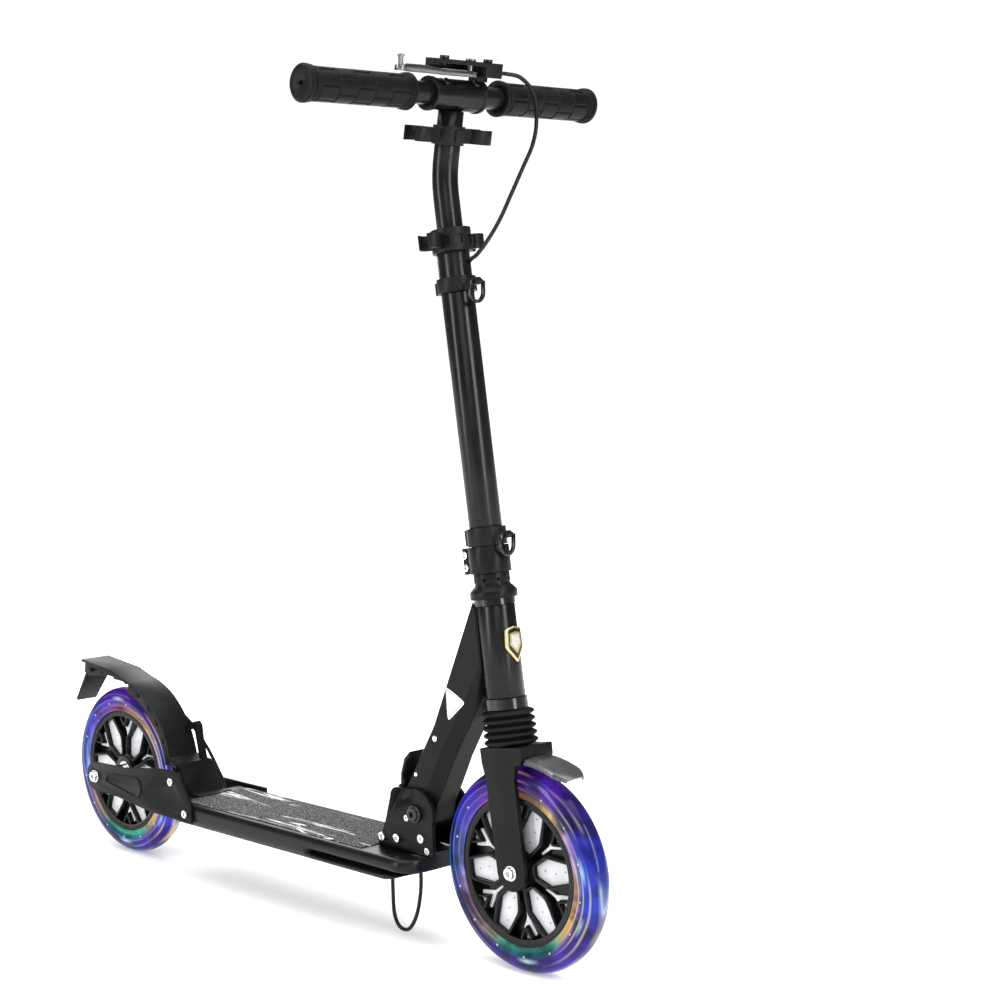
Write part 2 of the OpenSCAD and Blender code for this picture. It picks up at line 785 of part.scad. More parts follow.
module steering_clamp() {
  color(black) steer() difference() {
    union() {
      tube(stem_r + 4, stem_r + 0.02, clamp_s[0], clamp_s[1]);
      translate([-stem_r - 12, -8, clamp_s[0]]) cube([12, 16, clamp_s[1] - clamp_s[0]]);
    }
    translate([0, 0, 200]) cylinder(r = stem_r + 0.02, h = 200);
    translate([-stem_r - 20, -1, 280]) cube([20, 2, 40]);
    for (s = [294, 306]) translate([-stem_r - 7.5, 0, s]) rod_y(2.2, -10, 10);
  }
}

module clamp_bolts() {
  color(silver) steer() for (s = [294, 306]) {
    translate([-stem_r - 7.5, -8.05, s]) rotate([90, 0, 0]) cap_screw(3.8, 3, 2, 15.5);
  }
}

module headset_cap() {
  color(black) steer() difference() {
    union() {
      translate([0, 0, cap_s[0]]) cylinder(r = 23, h = 7);
      translate([0, 0, cap_s[0] + 7]) cylinder(r1 = 23, r2 = 18.5, h = cap_s[1] - cap_s[0] - 7);
      translate([0, 0, rings_s[0]]) cylinder(r = 17.6, h = rings_s[1] - rings_s[0]);
    }
    translate([0, 0, 250]) cylinder(r = steerer_r + 0.02, h = 60);
    for (k = [0:7]) rotate(45 * k + 20) translate([14, 0, 280.5]) rotate([0, 90, 0])
      cylinder(r = 1.5, h = 8);
    translate([0, 0, 276.4]) difference() {
      cylinder(r = 30, h = 1);
      translate([0, 0, -1]) cylinder(r = 16.8, h = 3);
    }
  }
}

// Split ring round the stem with a lug behind it and an eye for a strap loop in front
module strap_ring(s) {
  difference() {
    union() {
      tube(stem_r + 3.2, stem_r + 0.02, s[0], s[1]);
      translate([-stem_r - 9, -5, s[0] + 1]) cube([9, 10, s[1] - s[0] - 2]);
      translate([stem_r, -4, (s[0] + s[1]) / 2 - 3.6]) cube([eye_out, 8, 7.2]);
      translate([stem_r + eye_out, 0, (s[0] + s[1]) / 2]) rod_y(3.6, -4, 4);
    }
    translate([0, 0, s[0] - 5]) cylinder(r = stem_r + 0.02, h = 60);
    translate([-stem_r - 12, -0.8, s[0] - 1]) cube([12, 1.6, s[1] - s[0] + 2]);
    translate([stem_r + eye_out, 0, (s[0] + s[1]) / 2]) rod_y(wire_r + 0.1, -10, 10);
  }
}
module strap_ring_lower() { color(black) steer() strap_ring(low_strap_s); }
module strap_ring_upper() { color(black) steer() strap_ring(high_strap_s); }

// Flat outline of the wire loop, hanging down from the eye, r from its middle
module loop_outline(r, top) {
  translate([0, -11]) circle(r = r);
  translate([-r, -11]) square([2 * r, 11 + top]);
}

// Wire loop in the eye of a strap ring, hanging straight down
module strap_loop(s) {
  translate([stem_r + eye_out, 0, (s[0] + s[1]) / 2]) rotate([0, rake, 0]) {
    rod_y(wire_r, -loop_r - 0.5, loop_r + 0.5);
    translate([-wire_r, 0, 0]) rotate([90, 0, 90]) linear_extrude(2 * wire_r) difference() {
      loop_outline(loop_r + 2 * wire_r, 0);
      loop_outline(loop_r, 1);
    }
  }
}
module strap_loop_lower() { color(silver) steer() strap_loop(low_strap_s); }
module strap_loop_upper() { color(silver) steer() strap_loop(high_strap_s); }

// Open C clip whose mouth points to side s, centred at y
module c_clip(y, s, r, z0, z1) {
  translate([0, y, 0]) difference() {
    translate([0, 0, z0]) cylinder(r = r + 2.6, h = z1 - z0);
    translate([0, 0, z0 - 1]) cylinder(r = r, h = z1 - z0 + 2);
    translate([-r * 0.72, s > 0 ? 0 : -20, z0 - 1]) cube([r * 1.44, 20, z1 - z0 + 2]);
  }
}

module height_collar() {
  z = collar_s;
  color(black) steer() difference() {
    union() {
      translate([0, 0, z[0]]) cylinder(r = stem_r + 3.6, h = z[1] - z[0] + 2);
      for (s = [-1, 1]) {
        c_clip(s * (stem_r + 13), s, 8.5, z[0] + 3, z[1] - 3);
        translate([-4, s > 0 ? stem_r : -stem_r - 5, z[0] + 3]) cube([8, 5, z[1] - z[0] - 6]);
      }
    }
    translate([0, 0, z[0] - 1]) cylinder(r = stem_r + 0.02, h = stem_top_s - z[0] + 1.02);
    translate([0, 0, z[0]]) cylinder(r = riser_r + run, h = 60);
    for (a = [-62, -24, 24, 62]) rotate(a) translate([stem_r + 1, -4.2, z[0] + 6])
      cube([8, 8.4, 9]);
  }
}

// ---------- fork ----------
module fork() {
  leg_w = 18;
  color(black) steer() {
    difference() {
      union() {
        translate([-22, -leg_out, crown_s[0]]) cube([46, 2 * leg_out, crown_s[1] - crown_s[0]]);
        translate([24, -leg_out, crown_s[1] - 9]) cube([8, 2 * leg_out, 9]);
        translate([24, 0, crown_s[1] - 9]) rod_y(8, -leg_out, leg_out);
        translate([0, 0, crown_s[1] - 1]) cylinder(r = 14.8, h = 3);
        translate([0, 0, crown_s[1] - 1]) cylinder(r = 10.5 - run, h = 78);
        for (s = [-1, 1]) translate([0, s > 0 ? leg_out : -leg_in, 0]) rotate([90, 0, 0])
          linear_extrude(leg_out - leg_in) union() {
            circle(r = leg_w);
            polygon([[-leg_w, 0], [leg_w, 0], [leg_w + 1, 90], [24, crown_s[0] + 1],
              [-22, crown_s[0] + 1], [-leg_w - 1, 90]]);
          }
      }
      rod_y(axle_r + 0.1, -40, 40);
      translate([0, 0, crown_s[1] + 8]) cylinder(r = 6.5, h = 90);
    }
  }
}

module front_fender() {
  color(black) steer() translate([14, 0, 0]) difference() {
    rod_y(111.2, -20, 20);
    rod_y(109, -30, 30);
    translate([-200, -40, -200]) cube([218.05, 80, 400]);
    translate([-200, -40, -200]) cube([400, 80, 288.5]);
    for (s = [-1, 1]) translate([63, s * 20, 86]) rotate([0, -38, 0]) rotate([0, 0, 45])
      cube([12, 12, 30], center = true);
  }
}

module front_axle() {
  color(silver) steer() {
    rod_y(axle_r, -leg_out - 0.5, leg_out + 0.5);
    for (s = [-1, 1]) axle_end(s * (leg_out + 0.06), s);
    for (s = [-1, 1]) {
      a = s > 0 ? hub_w / 2 + 0.3 : -leg_in + 0.1;
      b = s > 0 ? leg_in - 0.1 : -hub_w / 2 - 0.3;
      difference() {
        rod_y(7, a, b);
        rod_y(axle_r + 0.02, a - 1, b + 1);
      }
    }
  }
}

module fork_bellows() {
  n = 5;
  pitch = (bellows_s[1] - bellows_s[0] - 6.4) / (n - 1);
  color([0.07, 0.07, 0.07]) steer() rotate_extrude() difference() {
    union() {
      translate([15.5, bellows_s[0] + 3.2])
        square([7.5, bellows_s[1] - bellows_s[0] - 6.4]);
      for (k = [0:n - 1]) translate([23, bellows_s[0] + 3.2 + pitch * k]) circle(r = 3.2);
    }
    translate([0, 100]) square([18.6, 100]);
  }
}

module fork_spring() {
  z0 = crown_s[1] + 78.2;
  z1 = 251.2;
  n = spring_turns * spring_steps;
  color(silver) steer() sweep([for (i = [0:n])
    [8 * cos(360 * i / spring_steps), 8 * sin(360 * i / spring_steps),
      z0 + 1.2 + (z1 - z0 - 2.4) * i / n]], 1.1, 6, [0, 0, 1]);
}

// ---------- handlebar ----------
module bar_riser() {
  rise = norm([bar_at[0], bar_at[1] - bend_s]);
  color(black) {
    steer() difference() {
      union() {
        translate([0, 0, riser_in_s]) cylinder(r = riser_r, h = bend_s - riser_in_s);
        translate([0, 0, bend_s]) sphere(r = riser_r);
        translate([0, 0, bend_s]) rotate([0, bend_a, 0])
          cylinder(r = riser_r, h = rise - 15.2);
      }
      translate([0, 0, riser_in_s - 1]) cylinder(r = riser_r - 2, h = bend_s - riser_in_s + 1);
      translate([0, 0, bend_s]) sphere(r = riser_r - 2);
      translate([0, 0, bend_s]) rotate([0, bend_a, 0])
        cylinder(r = riser_r - 2, h = rise - 10);
    }
  }
}

module bar_sleeve() {
  color(black) bar() difference() {
    union() {
      rod_y(15.1, -34, 34);
      for (s = [-1, 1]) rod_y(16.4, s > 0 ? 30 : -34, s > 0 ? 34 : -30);
    }
    rod_y(11.05, -40, 40);
  }
}

module bar_screws() {
  color(silver) bar() {
    for (y = [-20, 20]) translate([9.9, y, 11.5]) rotate([0, 42, 0])
      cap_screw(3.4, 3, 1.8, 3.4);
    for (y = [-27, 31]) translate([12, y, 33.1]) cap_screw(4.6, 3.2, 2, 6);
  }
}

// Band on the riser with a clip at each end for a stowed grip
module clip_band() {
  color(black) steer() translate([0, 0, bend_s]) rotate([0, bend_a, 0])
    difference() {
      union() {
        translate([0, 0, 32]) cylinder(r = riser_r + 3, h = 18);
        for (s = [-1, 1]) {
          translate([-4, s > 0 ? riser_r : -30, 34]) cube([8, 30 - riser_r, 14]);
          c_clip(s * 40, s, 11, 34, 48);
        }
        translate([riser_r + 1, -6, 35]) cube([4, 12, 12]);
      }
      translate([0, 0, 20]) cylinder(r = riser_r + 0.02, h = 50);
      for (s = [-1, 1]) translate([0, s * 40, 20]) cylinder(r = 11, h = 40);
    }
}

// Pull-out handle: inner tube, then the grip on it
module handle_bar(s) {
  bar() difference() {
    rod_y(11, s > 0 ? 4 : -bar_w / 2 + cap_t + 0.1, s > 0 ? bar_w / 2 - cap_t - 0.1 : -4);
    rod_y(9.2, -bar_w, bar_w);
  }
}
module right_bar() { color(black) handle_bar(-1); }
module left_bar() { color(black) handle_bar(1); }

// Grip from the outer end inwards, with flanges, an end cap with a hole and raised tiles
module grip(s) {
  end = bar_w / 2;
  rows = 5;
  around = 6;
  pitch = (grip_l - 16) / rows;
  bar() rotate([s > 0 ? -90 : 90, 0, 0]) difference() {
    union() {
      translate([0, 0, end - grip_l]) cylinder(r = grip_d / 2 - 1.4, h = grip_l - 1);
      for (z = [end - grip_l, end - 5.5]) translate([0, 0, z]) cylinder(r = grip_d / 2 + 1.8, h = 4);
      translate([0, 0, end - 1.5]) cylinder(r1 = grip_d / 2 + 1, r2 = grip_d / 2 - 2, h = 1.5);
      intersection() {
        tube(grip_d / 2, grip_d / 2 - 1.5, end - grip_l + 6, end - 8);
        for (i = [0:rows - 1], k = [0:around - 1])
          rotate(360 * (k + 0.5 * (i % 2)) / around)
            translate([4, -7.4, end - grip_l + 7 + pitch * i]) cube([20, 14.8, pitch - 2.2]);
      }
    }
    translate([0, 0, end - grip_l - 1]) cylinder(r = 11.02, h = grip_l + 1 - cap_t);
    translate([0, 0, end - 10]) cylinder(r = 5, h = 20);
  }
}
module right_grip() { color(satin) grip(-1); }
module left_grip() { color(satin) grip(1); }

// ---------- hand brake ----------
module brake_perch() {
  color(black) bar() difference() {
    union() {
      translate([-4, -36, 29]) cube([30, 74, 4]);
      translate([-4, -36, 24]) cube([6, 74, 6]);
      translate([2, 16, 19]) cube([24, 22, 11]);
      for (s = [-33, 35]) translate([8, s, 27]) cylinder(r = 7, h = 6);
      translate([-3, 22, 14.5]) cube([12, 14, 12]);
    }
    translate([lever_at[0], lever_at[1], 27]) cylinder(r = 3 + run, h = 30);
    rod_y(15.15, -50, 50);
    rod_y(16.45, 29.9, 34.1);
    translate([12, 0, 24]) rod_y(2.2, 10, 50);
    translate([12, 0, 24]) rod_y(5.1, 38, 50);
    for (y = [-27, 31]) translate([12, y, 20]) cylinder(r = 2.05, h = 30);
  }
}

module brake_lever() {
  color([0.2, 0.2, 0.21]) bar() {
    translate([0, 0, 18.6]) linear_extrude(5) difference() {
      union() {
        translate([lever_at[0], lever_at[1]]) circle(r = 8);
        polygon([[8, 8], [6, -20], [12, -48], [24, -84], [31, -104], [39, -101],
          [33, -82], [24, -50], [22, -14], [22, 6]]);
        translate([35, -103]) circle(r = 5.5);
      }
    }
    translate([lever_at[0], lever_at[1], 23.5]) cylinder(r = 3, h = 12);
    translate([lever_at[0], lever_at[1], 33.1]) cylinder(r = 5, h = 2);
  }
}

module barrel_adjuster() {
  color(silver) bar() translate([12, 38.05, 24]) rotate([-90, 0, 0]) difference() {
    union() {
      cylinder(r = 5, h = 7);
      cylinder(r = 3.6, h = 12);
    }
    translate([0, 0, -1]) cylinder(r = 2, h = 9);
  }
}

module brake_cable_upper() {
  color(black) side_view() sweep(smooth(cable_points, 4), 2.2, 8, [1, 0, 0.2]);
}

deck_platform();
deck_tray();
grip_tape();
bracket_plate_right();
bracket_plate_left();
bracket_base();
deck_bolts();
fender_bracket();
stay_right();
stay_left();
rear_axle();
brake_caliper();
brake_cable_lower();
hinge_pins();
rear_tyre();
rear_rim();
rear_petals();
rear_bearings();
brake_disc();
rear_fender();
fender_skirts();
mud_flap();
reflector();
caliper_arm();
neck_beam();
head_tube();
neck_rivets();
neck_labels();
headset_cups();
release_pedal();
stem_tube();
steering_clamp();
clamp_bolts();
headset_cap();
strap_ring_lower();
strap_ring_upper();
height_collar();
strap_loop_lower();
strap_loop_upper();
fork();
front_fender();
front_axle();
fork_bellows();
fork_spring();
front_tyre();
front_rim();
front_petals();
front_bearings();
bar_riser();
bar_sleeve();
bar_screws();
clip_band();
brake_perch();
barrel_adjuster();
brake_cable_upper();
brake_lever();
right_bar();
right_grip();
left_bar();
left_grip();
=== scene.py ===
"""Kick scooter with lit wheels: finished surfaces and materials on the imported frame."""

import json
import math

import bmesh
import bpy
import numpy as np
from mathutils import Matrix, Vector


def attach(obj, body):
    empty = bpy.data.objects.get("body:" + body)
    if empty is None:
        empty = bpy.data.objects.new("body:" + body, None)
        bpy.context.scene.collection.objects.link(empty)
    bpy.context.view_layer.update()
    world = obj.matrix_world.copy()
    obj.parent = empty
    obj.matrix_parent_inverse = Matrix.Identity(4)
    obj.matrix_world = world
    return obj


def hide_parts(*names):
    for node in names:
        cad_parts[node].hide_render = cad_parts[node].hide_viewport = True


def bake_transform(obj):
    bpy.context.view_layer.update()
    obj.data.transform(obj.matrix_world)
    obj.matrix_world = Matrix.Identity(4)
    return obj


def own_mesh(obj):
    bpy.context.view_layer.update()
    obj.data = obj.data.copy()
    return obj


bl_info = {
    "name": "Kick scooter surfaces",
    "version": (1, 0, 0),
    "blender": (4, 5, 0),
    "location": "3D View > Sidebar > Scooter",
    "description": "Builds the finished pieces and materials of a folding kick scooter",
    "category": "Object",
}

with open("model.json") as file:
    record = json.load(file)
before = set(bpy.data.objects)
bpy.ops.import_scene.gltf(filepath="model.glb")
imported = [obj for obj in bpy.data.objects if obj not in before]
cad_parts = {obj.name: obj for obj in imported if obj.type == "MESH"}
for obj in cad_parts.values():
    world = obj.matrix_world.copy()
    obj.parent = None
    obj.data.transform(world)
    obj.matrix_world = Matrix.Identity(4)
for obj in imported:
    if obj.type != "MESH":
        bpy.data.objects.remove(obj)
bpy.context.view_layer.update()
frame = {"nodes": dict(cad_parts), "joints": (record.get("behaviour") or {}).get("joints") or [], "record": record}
RECORD = frame["record"]
JOINTS = {joint["name"]: joint for joint in frame["joints"]}
MOUNTS = {mount["name"]: mount for mount in RECORD["mounts"]}
BODY_OF = {node: body for body, nodes in RECORD["behaviour"]["bodies"].items() for node in nodes}
MM = 0.001


# ---------- frames ----------
def axes_at(origin, up):
    """4x4 array whose Z column is up, in the X-Z plane, and whose origin is given."""
    up = np.array(up, float) / np.linalg.norm(up)
    place = np.eye(4)
    place[:3, 0] = (up[2], 0, -up[0])
    place[:3, 2] = up
    place[:3, 3] = origin
    return place


STEER_UP = np.array(JOINTS["steer"]["axis"], float)
BAR_UP = -np.array(JOINTS["brake_lever"]["axis"], float)
STEER = axes_at(JOINTS["front_wheel_spin"]["pos_m"], STEER_UP)
BAR = axes_at(MOUNTS["basket_bar"]["pos_m"], BAR_UP)
REAR = axes_at(JOINTS["rear_wheel_spin"]["pos_m"], (0, 0, 1))
SIDE = axes_at((JOINTS["rear_wheel_spin"]["pos_m"][0], 0, 0), (0, 0, 1))
TILT = math.atan2(STEER_UP[0], STEER_UP[2])


def put(points, place):
    """Points in millimetres in a local frame, as metres in the row frame."""
    return points * MM @ place[:3, :3].T + place[:3, 3]


# ---------- surfaces ----------
def smoothstep(x):
    """0 below 0, 1 above 1, and three x squared less two x cubed between."""
    x = np.clip(x, 0, 1)
    return x * x * (3 - 2 * x)


def revolve(profile, steps, swell=None):
    """Profile (radius, along Y) turned about Y: x = radius cos a, z = radius sin a.

    swell, if given, is a rows by steps array of millimetres added to the radius.
    """
    turn = np.linspace(0, 2 * np.pi, steps, endpoint=False)
    radius = np.repeat(profile[:, :1], steps, axis=1)
    if swell is not None:
        radius = radius + swell
    along = np.repeat(profile[:, 1:], steps, axis=1)
    return np.stack([radius * np.cos(turn), along, radius * np.sin(turn)], axis=-1)


def stand_up(points):
    """Turns a shape made about Y so that its axis is Z."""
    return np.stack([points[..., 0], -points[..., 2], points[..., 1]], axis=-1)


def along_path(path, radius, sides):
    """Tube round a path: ring k is path + radius (cos a side + sin a across).

    side is the path's direction crossed with a fixed reference, across is their cross product.
    """
    ahead = np.gradient(path, axis=0)
    ahead /= np.linalg.norm(ahead, axis=1)[:, None]
    spread = path - path.mean(axis=0)
    reference = np.linalg.svd(spread, full_matrices=False)[2][2]
    side = np.cross(ahead, reference)
    side /= np.linalg.norm(side, axis=1)[:, None]
    across = np.cross(side, ahead)
    turn = np.linspace(0, 2 * np.pi, sides, endpoint=False)
    radius = np.broadcast_to(radius, len(path))[:, None, None]
    ring = np.cos(turn)[:, None] * side[:, None] + np.sin(turn)[:, None] * across[:, None]
    return path[:, None] + radius * ring


def flowing(points, steps):
    """Catmull-Rom curve through the points, with steps samples in each span."""
    p = np.array(points, float)
    p = np.vstack([2 * p[0] - p[1], p, 2 * p[-1] - p[-2]])
    t = np.linspace(0, 1, steps, endpoint=False)[:, None]
    spans = [
        0.5 * (2 * b + (c - a) * t + (2 * a - 5 * b + 4 * c - d) * t**2
               + (3 * b - a - 3 * c + d) * t**3)
        for a, b, c, d in zip(p, p[1:], p[2:], p[3:])
    ]
    return np.vstack([*spans, p[-2:-1]])


def quads(rows, cols, wrap_rows, wrap_cols):
    """Corner numbers of every quad of a rows by cols grid, closed on itself where asked."""
    r = np.arange(rows if wrap_rows else rows - 1)[:, None]
    c = np.arange(cols if wrap_cols else cols - 1)[None, :]
    up, over = (r + 1) % rows, (c + 1) % cols
    corners = [r * cols + c, r * cols + over, up * cols + over, up * cols + c]
    return np.stack([np.broadcast_to(k, (r.size, c.size)) for k in corners], -1).reshape(-1, 4)


def mesh_piece(name, grid, body, wrap_rows=False, wrap_cols=False, caps=False, uv=None):
    """One object from a grid of row frame points, with flat end caps where asked."""
    rows, cols = grid.shape[:2]
    faces = quads(rows, cols, wrap_rows, wrap_cols).tolist()
    if caps:
        faces.append(list(range(cols)))
        faces.append(list(range((rows - 1) * cols, rows * cols))[::-1])
    mesh = bpy.data.meshes.new(name)
    mesh.from_pydata(grid.reshape(-1, 3).tolist(), [], faces)
    if uv is not None:
        layer = mesh.uv_layers.new(name="place")
        corner = np.zeros(len(mesh.loops), np.int32)
        mesh.loops.foreach_get("vertex_index", corner)
        layer.data.foreach_set("uv", uv.reshape(-1, 2)[corner].astype(np.float32).ravel())
    return finished(name, mesh, body, outward=uv is None)


def many_grids(name, grids, body):
    """One object from several equal tubes, each closed on itself both ways."""
    rows, cols = grids[0].shape[:2]
    one = quads(rows, cols, True, True)
    faces = np.vstack([one + k * rows * cols for k in range(len(grids))])
    mesh = bpy.data.meshes.new(name)
    mesh.from_pydata(np.concatenate([g.reshape(-1, 3) for g in grids]).tolist(), [],
                     faces.tolist())
    return finished(name, mesh, body)


def moulding(corners, soft, radius, sides, y):
    """Closed tube of the given radius round a flat outline with rounded corners, at height y.

    The tube's ring at a point is the point + radius (cos a outward + sin a along Y).
    """
    line = rounded_outline(corners, soft, 5)
    ahead = np.roll(line, -1, axis=0) - np.roll(line, 1, axis=0)
    ahead /= np.linalg.norm(ahead, axis=1)[:, None]
    out = np.stack([ahead[:, 1], -ahead[:, 0]], axis=1)[:, None, :]
    turn = np.linspace(0, 2 * np.pi, sides, endpoint=False)[None, :, None]
    flat = line[:, None, :] + radius * np.cos(turn) * out
    rise = np.broadcast_to(y + radius * np.sin(turn), (len(line), sides, 1))
    return np.concatenate([flat[..., :1], rise, flat[..., 1:]], axis=-1)


def about_axle(points, angle):
    """Points turned about the Y axis by an angle in radians."""
    c, n = math.cos(angle), math.sin(angle)
    x, z = points[..., 0], points[..., 2]
    return np.stack([x * c - z * n, points[..., 1], x * n + z * c], axis=-1)


def finished(name, mesh, body, outward=True):
    """Links a mesh as an object that rides on a body, its doubles merged and faces outward."""
    bm = bmesh.new()
    bm.from_mesh(mesh)
    bmesh.ops.remove_doubles(bm, verts=bm.verts, dist=2e-7)
    if outward:
        bmesh.ops.recalc_face_normals(bm, faces=bm.faces)
    bm.to_mesh(mesh)
    bm.free()
    mesh.shade_smooth()
    piece = bpy.data.objects.new(name, mesh)
    bpy.context.scene.collection.objects.link(piece)
    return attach(piece, body) if body else piece


def soften(piece, width, segments=2, angle=30):
    """Rounds every edge sharper than angle by width metres."""
    bevel = piece.modifiers.new("edges", "BEVEL")
    bevel.width = width
    bevel.segments = segments
    bevel.limit_method = "ANGLE"
    bevel.angle_limit = math.radians(angle)
    bevel.harden_normals = True
    bevel.miter_outer = "MITER_ARC"
    return piece


def refined(node, material, width=0.0005, segments=2, body=None):
    """Merged copy of a CAD node with rounded edges, which stands for the node."""
    name = node + "_skin"
    mesh = frame["nodes"][node].data.copy()
    mesh.name = name
    mesh.materials.clear()
    bm = bmesh.new()
    bm.from_mesh(mesh)
    bmesh.ops.remove_doubles(bm, verts=bm.verts, dist=1e-6)
    bmesh.ops.dissolve_limit(bm, angle_limit=math.radians(0.6), verts=bm.verts, edges=bm.edges)
    for layer in list(bm.loops.layers.uv.values()):
        bm.loops.layers.uv.remove(layer)
    bm.to_mesh(mesh)
    bm.free()
    mesh.shade_smooth()
    piece = bpy.data.objects.new(name, mesh)
    bpy.context.scene.collection.objects.link(piece)
    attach(piece, body or BODY_OF[node])
    if width:
        soften(piece, width, segments)
    return dress(piece, material, node)


def refine_all(material, width, segments, *nodes):
    """Refined copies of several nodes in one material."""
    for node in nodes:
        refined(node, material, width, segments)


def dress(piece, material, *nodes):
    """Gives a piece its material, and lets it stand for CAD nodes, which it hides."""
    piece.data.materials.append(material)
    if nodes:
        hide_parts(*nodes)
    return piece


def repaint(material, *nodes):
    """Puts a material on CAD nodes that stay as they are."""
    for node in nodes:
        mesh = frame["nodes"][node].data
        mesh.materials.clear()
        mesh.materials.append(material)


# ---------- materials ----------
def add_node(tree, kind, settings=None, **values):
    """New shader node. A value is a plain number or colour, or a socket to link from."""
    node = tree.nodes.new(kind)
    for key, value in (settings or {}).items():
        setattr(node, key, value)
    for key, value in values.items():
        name = key.replace("_", " ")
        socket = node.inputs[int(name[3:])] if name.startswith("in ") else node.inputs[name]
        if isinstance(value, bpy.types.NodeSocket):
            tree.links.new(value, socket)
        else:
            socket.default_value = value
    return node


def maths(tree, operation, *values):
    """Output of a Math node on the values."""
    pairs = {f"in {k}": value for k, value in enumerate(values)}
    return add_node(tree, "ShaderNodeMath", {"operation": operation}, **pairs).outputs[0]


def times(tree, *values):
    """Output of Math nodes that multiply the values."""
    product = values[0]
    for value in values[1:]:
        product = maths(tree, "MULTIPLY", product, value)
    return product


def length(tree, a, b):
    """Root of a squared and b squared."""
    squares = [times(tree, k, k) for k in (a, b)]
    return maths(tree, "SQRT", maths(tree, "ADD", *squares))


def ramp(tree, factor, stops, interpolation="LINEAR"):
    """Colour output of a ramp whose stops are (place, colour)."""
    node = add_node(tree, "ShaderNodeValToRGB", Fac=factor)
    band = node.color_ramp
    band.interpolation = interpolation
    while len(band.elements) < len(stops):
        band.elements.new(1.0)
    for element, (place, colour) in zip(band.elements, stops):
        element.position = place
        element.color = (*colour, 1)
    return node.outputs["Color"]


def grey(value):
    """A colour of one value."""
    return (value, value, value)


def mixed(tree, factor, a, b, blend="MIX"):
    """Mix of two colours."""
    node = add_node(tree, "ShaderNodeMix", {"data_type": "RGBA", "blend_type": blend})
    for socket, value in zip((node.inputs[0], node.inputs[6], node.inputs[7]), (factor, a, b)):
        if isinstance(value, bpy.types.NodeSocket):
            tree.links.new(value, socket)
        else:
            socket.default_value = (*value, 1) if isinstance(value, tuple) else value
    return node.outputs[2]


def noise(tree, vector, scale, detail=2.0, distortion=0.0):
    """Value output of a noise of that many features to the metre."""
    return add_node(tree, "ShaderNodeTexNoise", Vector=vector, Scale=scale, Detail=detail,
                    Distortion=distortion).outputs[0]


def start(name, **constants):
    """Material with its shader's constants set: (material, tree, shader, object coordinates)."""
    material = bpy.data.materials.new(name)
    material.use_nodes = True
    tree = material.node_tree
    shader = tree.nodes["Principled BSDF"]
    for key, value in constants.items():
        shader.inputs[key.replace("_", " ")].default_value = value
    coordinates = add_node(tree, "ShaderNodeTexCoord").outputs["Object"]
    return material, tree, shader, coordinates


def bump(tree, shader, height, strength, depth):
    """Joins a height to the shader's normal; depth is in metres."""
    node = add_node(tree, "ShaderNodeBump", Strength=strength, Distance=depth, Height=height)
    tree.links.new(node.outputs[0], shader.inputs["Normal"])


def coated(name, colour, rough, grain, strength, coat, gloss):
    """Paint or moulded plastic: mottled tone, uneven gloss, fine grain and faint scuffs."""
    material, tree, shader, where = start(name, Specular_IOR_Level=gloss, Coat_Weight=coat,
                                          Coat_Roughness=0.25)
    cloud = noise(tree, where, 28.0, 4.0)
    dark = tuple(c * 0.75 for c in colour)
    light = tuple(c * 1.35 for c in colour)
    tone = ramp(tree, cloud, [(0.35, dark), (0.65, light)])
    scuff = ramp(tree, noise(tree, where, 190.0, 8.0, 1.5), [(0.66, grey(0)), (0.8, grey(1))])
    worn = mixed(tree, times(tree, scuff, 0.25), tone, tuple(c * 2.4 for c in colour))
    tree.links.new(worn, shader.inputs["Base Color"])
    uneven = add_node(tree, "ShaderNodeMapRange", in_0=cloud, in_1=0.3, in_2=0.7,
                      in_3=rough - 0.05, in_4=rough + 0.07).outputs[0]
    tree.links.new(uneven, shader.inputs["Roughness"])
    fine = noise(tree, where, grain, 3.0)
    bump(tree, shader, fine, strength, 0.0002)
    return material


def bright_metal(name, colour, rough, streak):
    """Plated or anodised metal: fine drawn lines and cloudy gloss."""
    material, tree, shader, where = start(name, Metallic=1.0)
    lines = add_node(tree, "ShaderNodeMapping", Vector=where, Scale=(streak, 1.0, streak))
    drawn = noise(tree, lines.outputs[0], 900.0, 2.0)
    cloud = noise(tree, where, 60.0, 3.0)
    tone = ramp(tree, cloud, [(0.3, tuple(c * 0.8 for c in colour)), (0.7, colour)])
    tree.links.new(tone, shader.inputs["Base Color"])
    gloss = add_node(tree, "ShaderNodeMapRange", in_0=drawn, in_1=0.3, in_2=0.7,
                     in_3=rough * 0.8, in_4=rough * 1.3).outputs[0]
    tree.links.new(gloss, shader.inputs["Roughness"])
    bump(tree, shader, drawn, 0.15, 0.0001)
    return material


def wheel_polar(tree, where, place, tilt):
    """Turn (0 to 1 round the wheel) and radius in metres, about the wheel's own axle."""
    local = add_node(tree, "ShaderNodeMapping", {"vector_type": "TEXTURE"}, Vector=where,
                     Location=tuple(place[:3, 3]), Rotation=(0, tilt, 0)).outputs[0]
    axes = add_node(tree, "ShaderNodeSeparateXYZ", Vector=local).outputs
    turn = maths(tree, "ARCTAN2", axes[2], axes[0])
    share = maths(tree, "ADD", maths(tree, "DIVIDE", turn, 2 * math.pi), 0.5)
    return share, length(tree, axes[0], axes[2])


LAMPS_A_TURN = 14.4
LAMP_RADIUS = 0.0822
LAMP_SPACING = 0.0358
TRAIL_MM = 3.4
# Radius of the ring on which the painted glints (highlights) sit.
PAINTED_GLINT_RADIUS = 0.0905


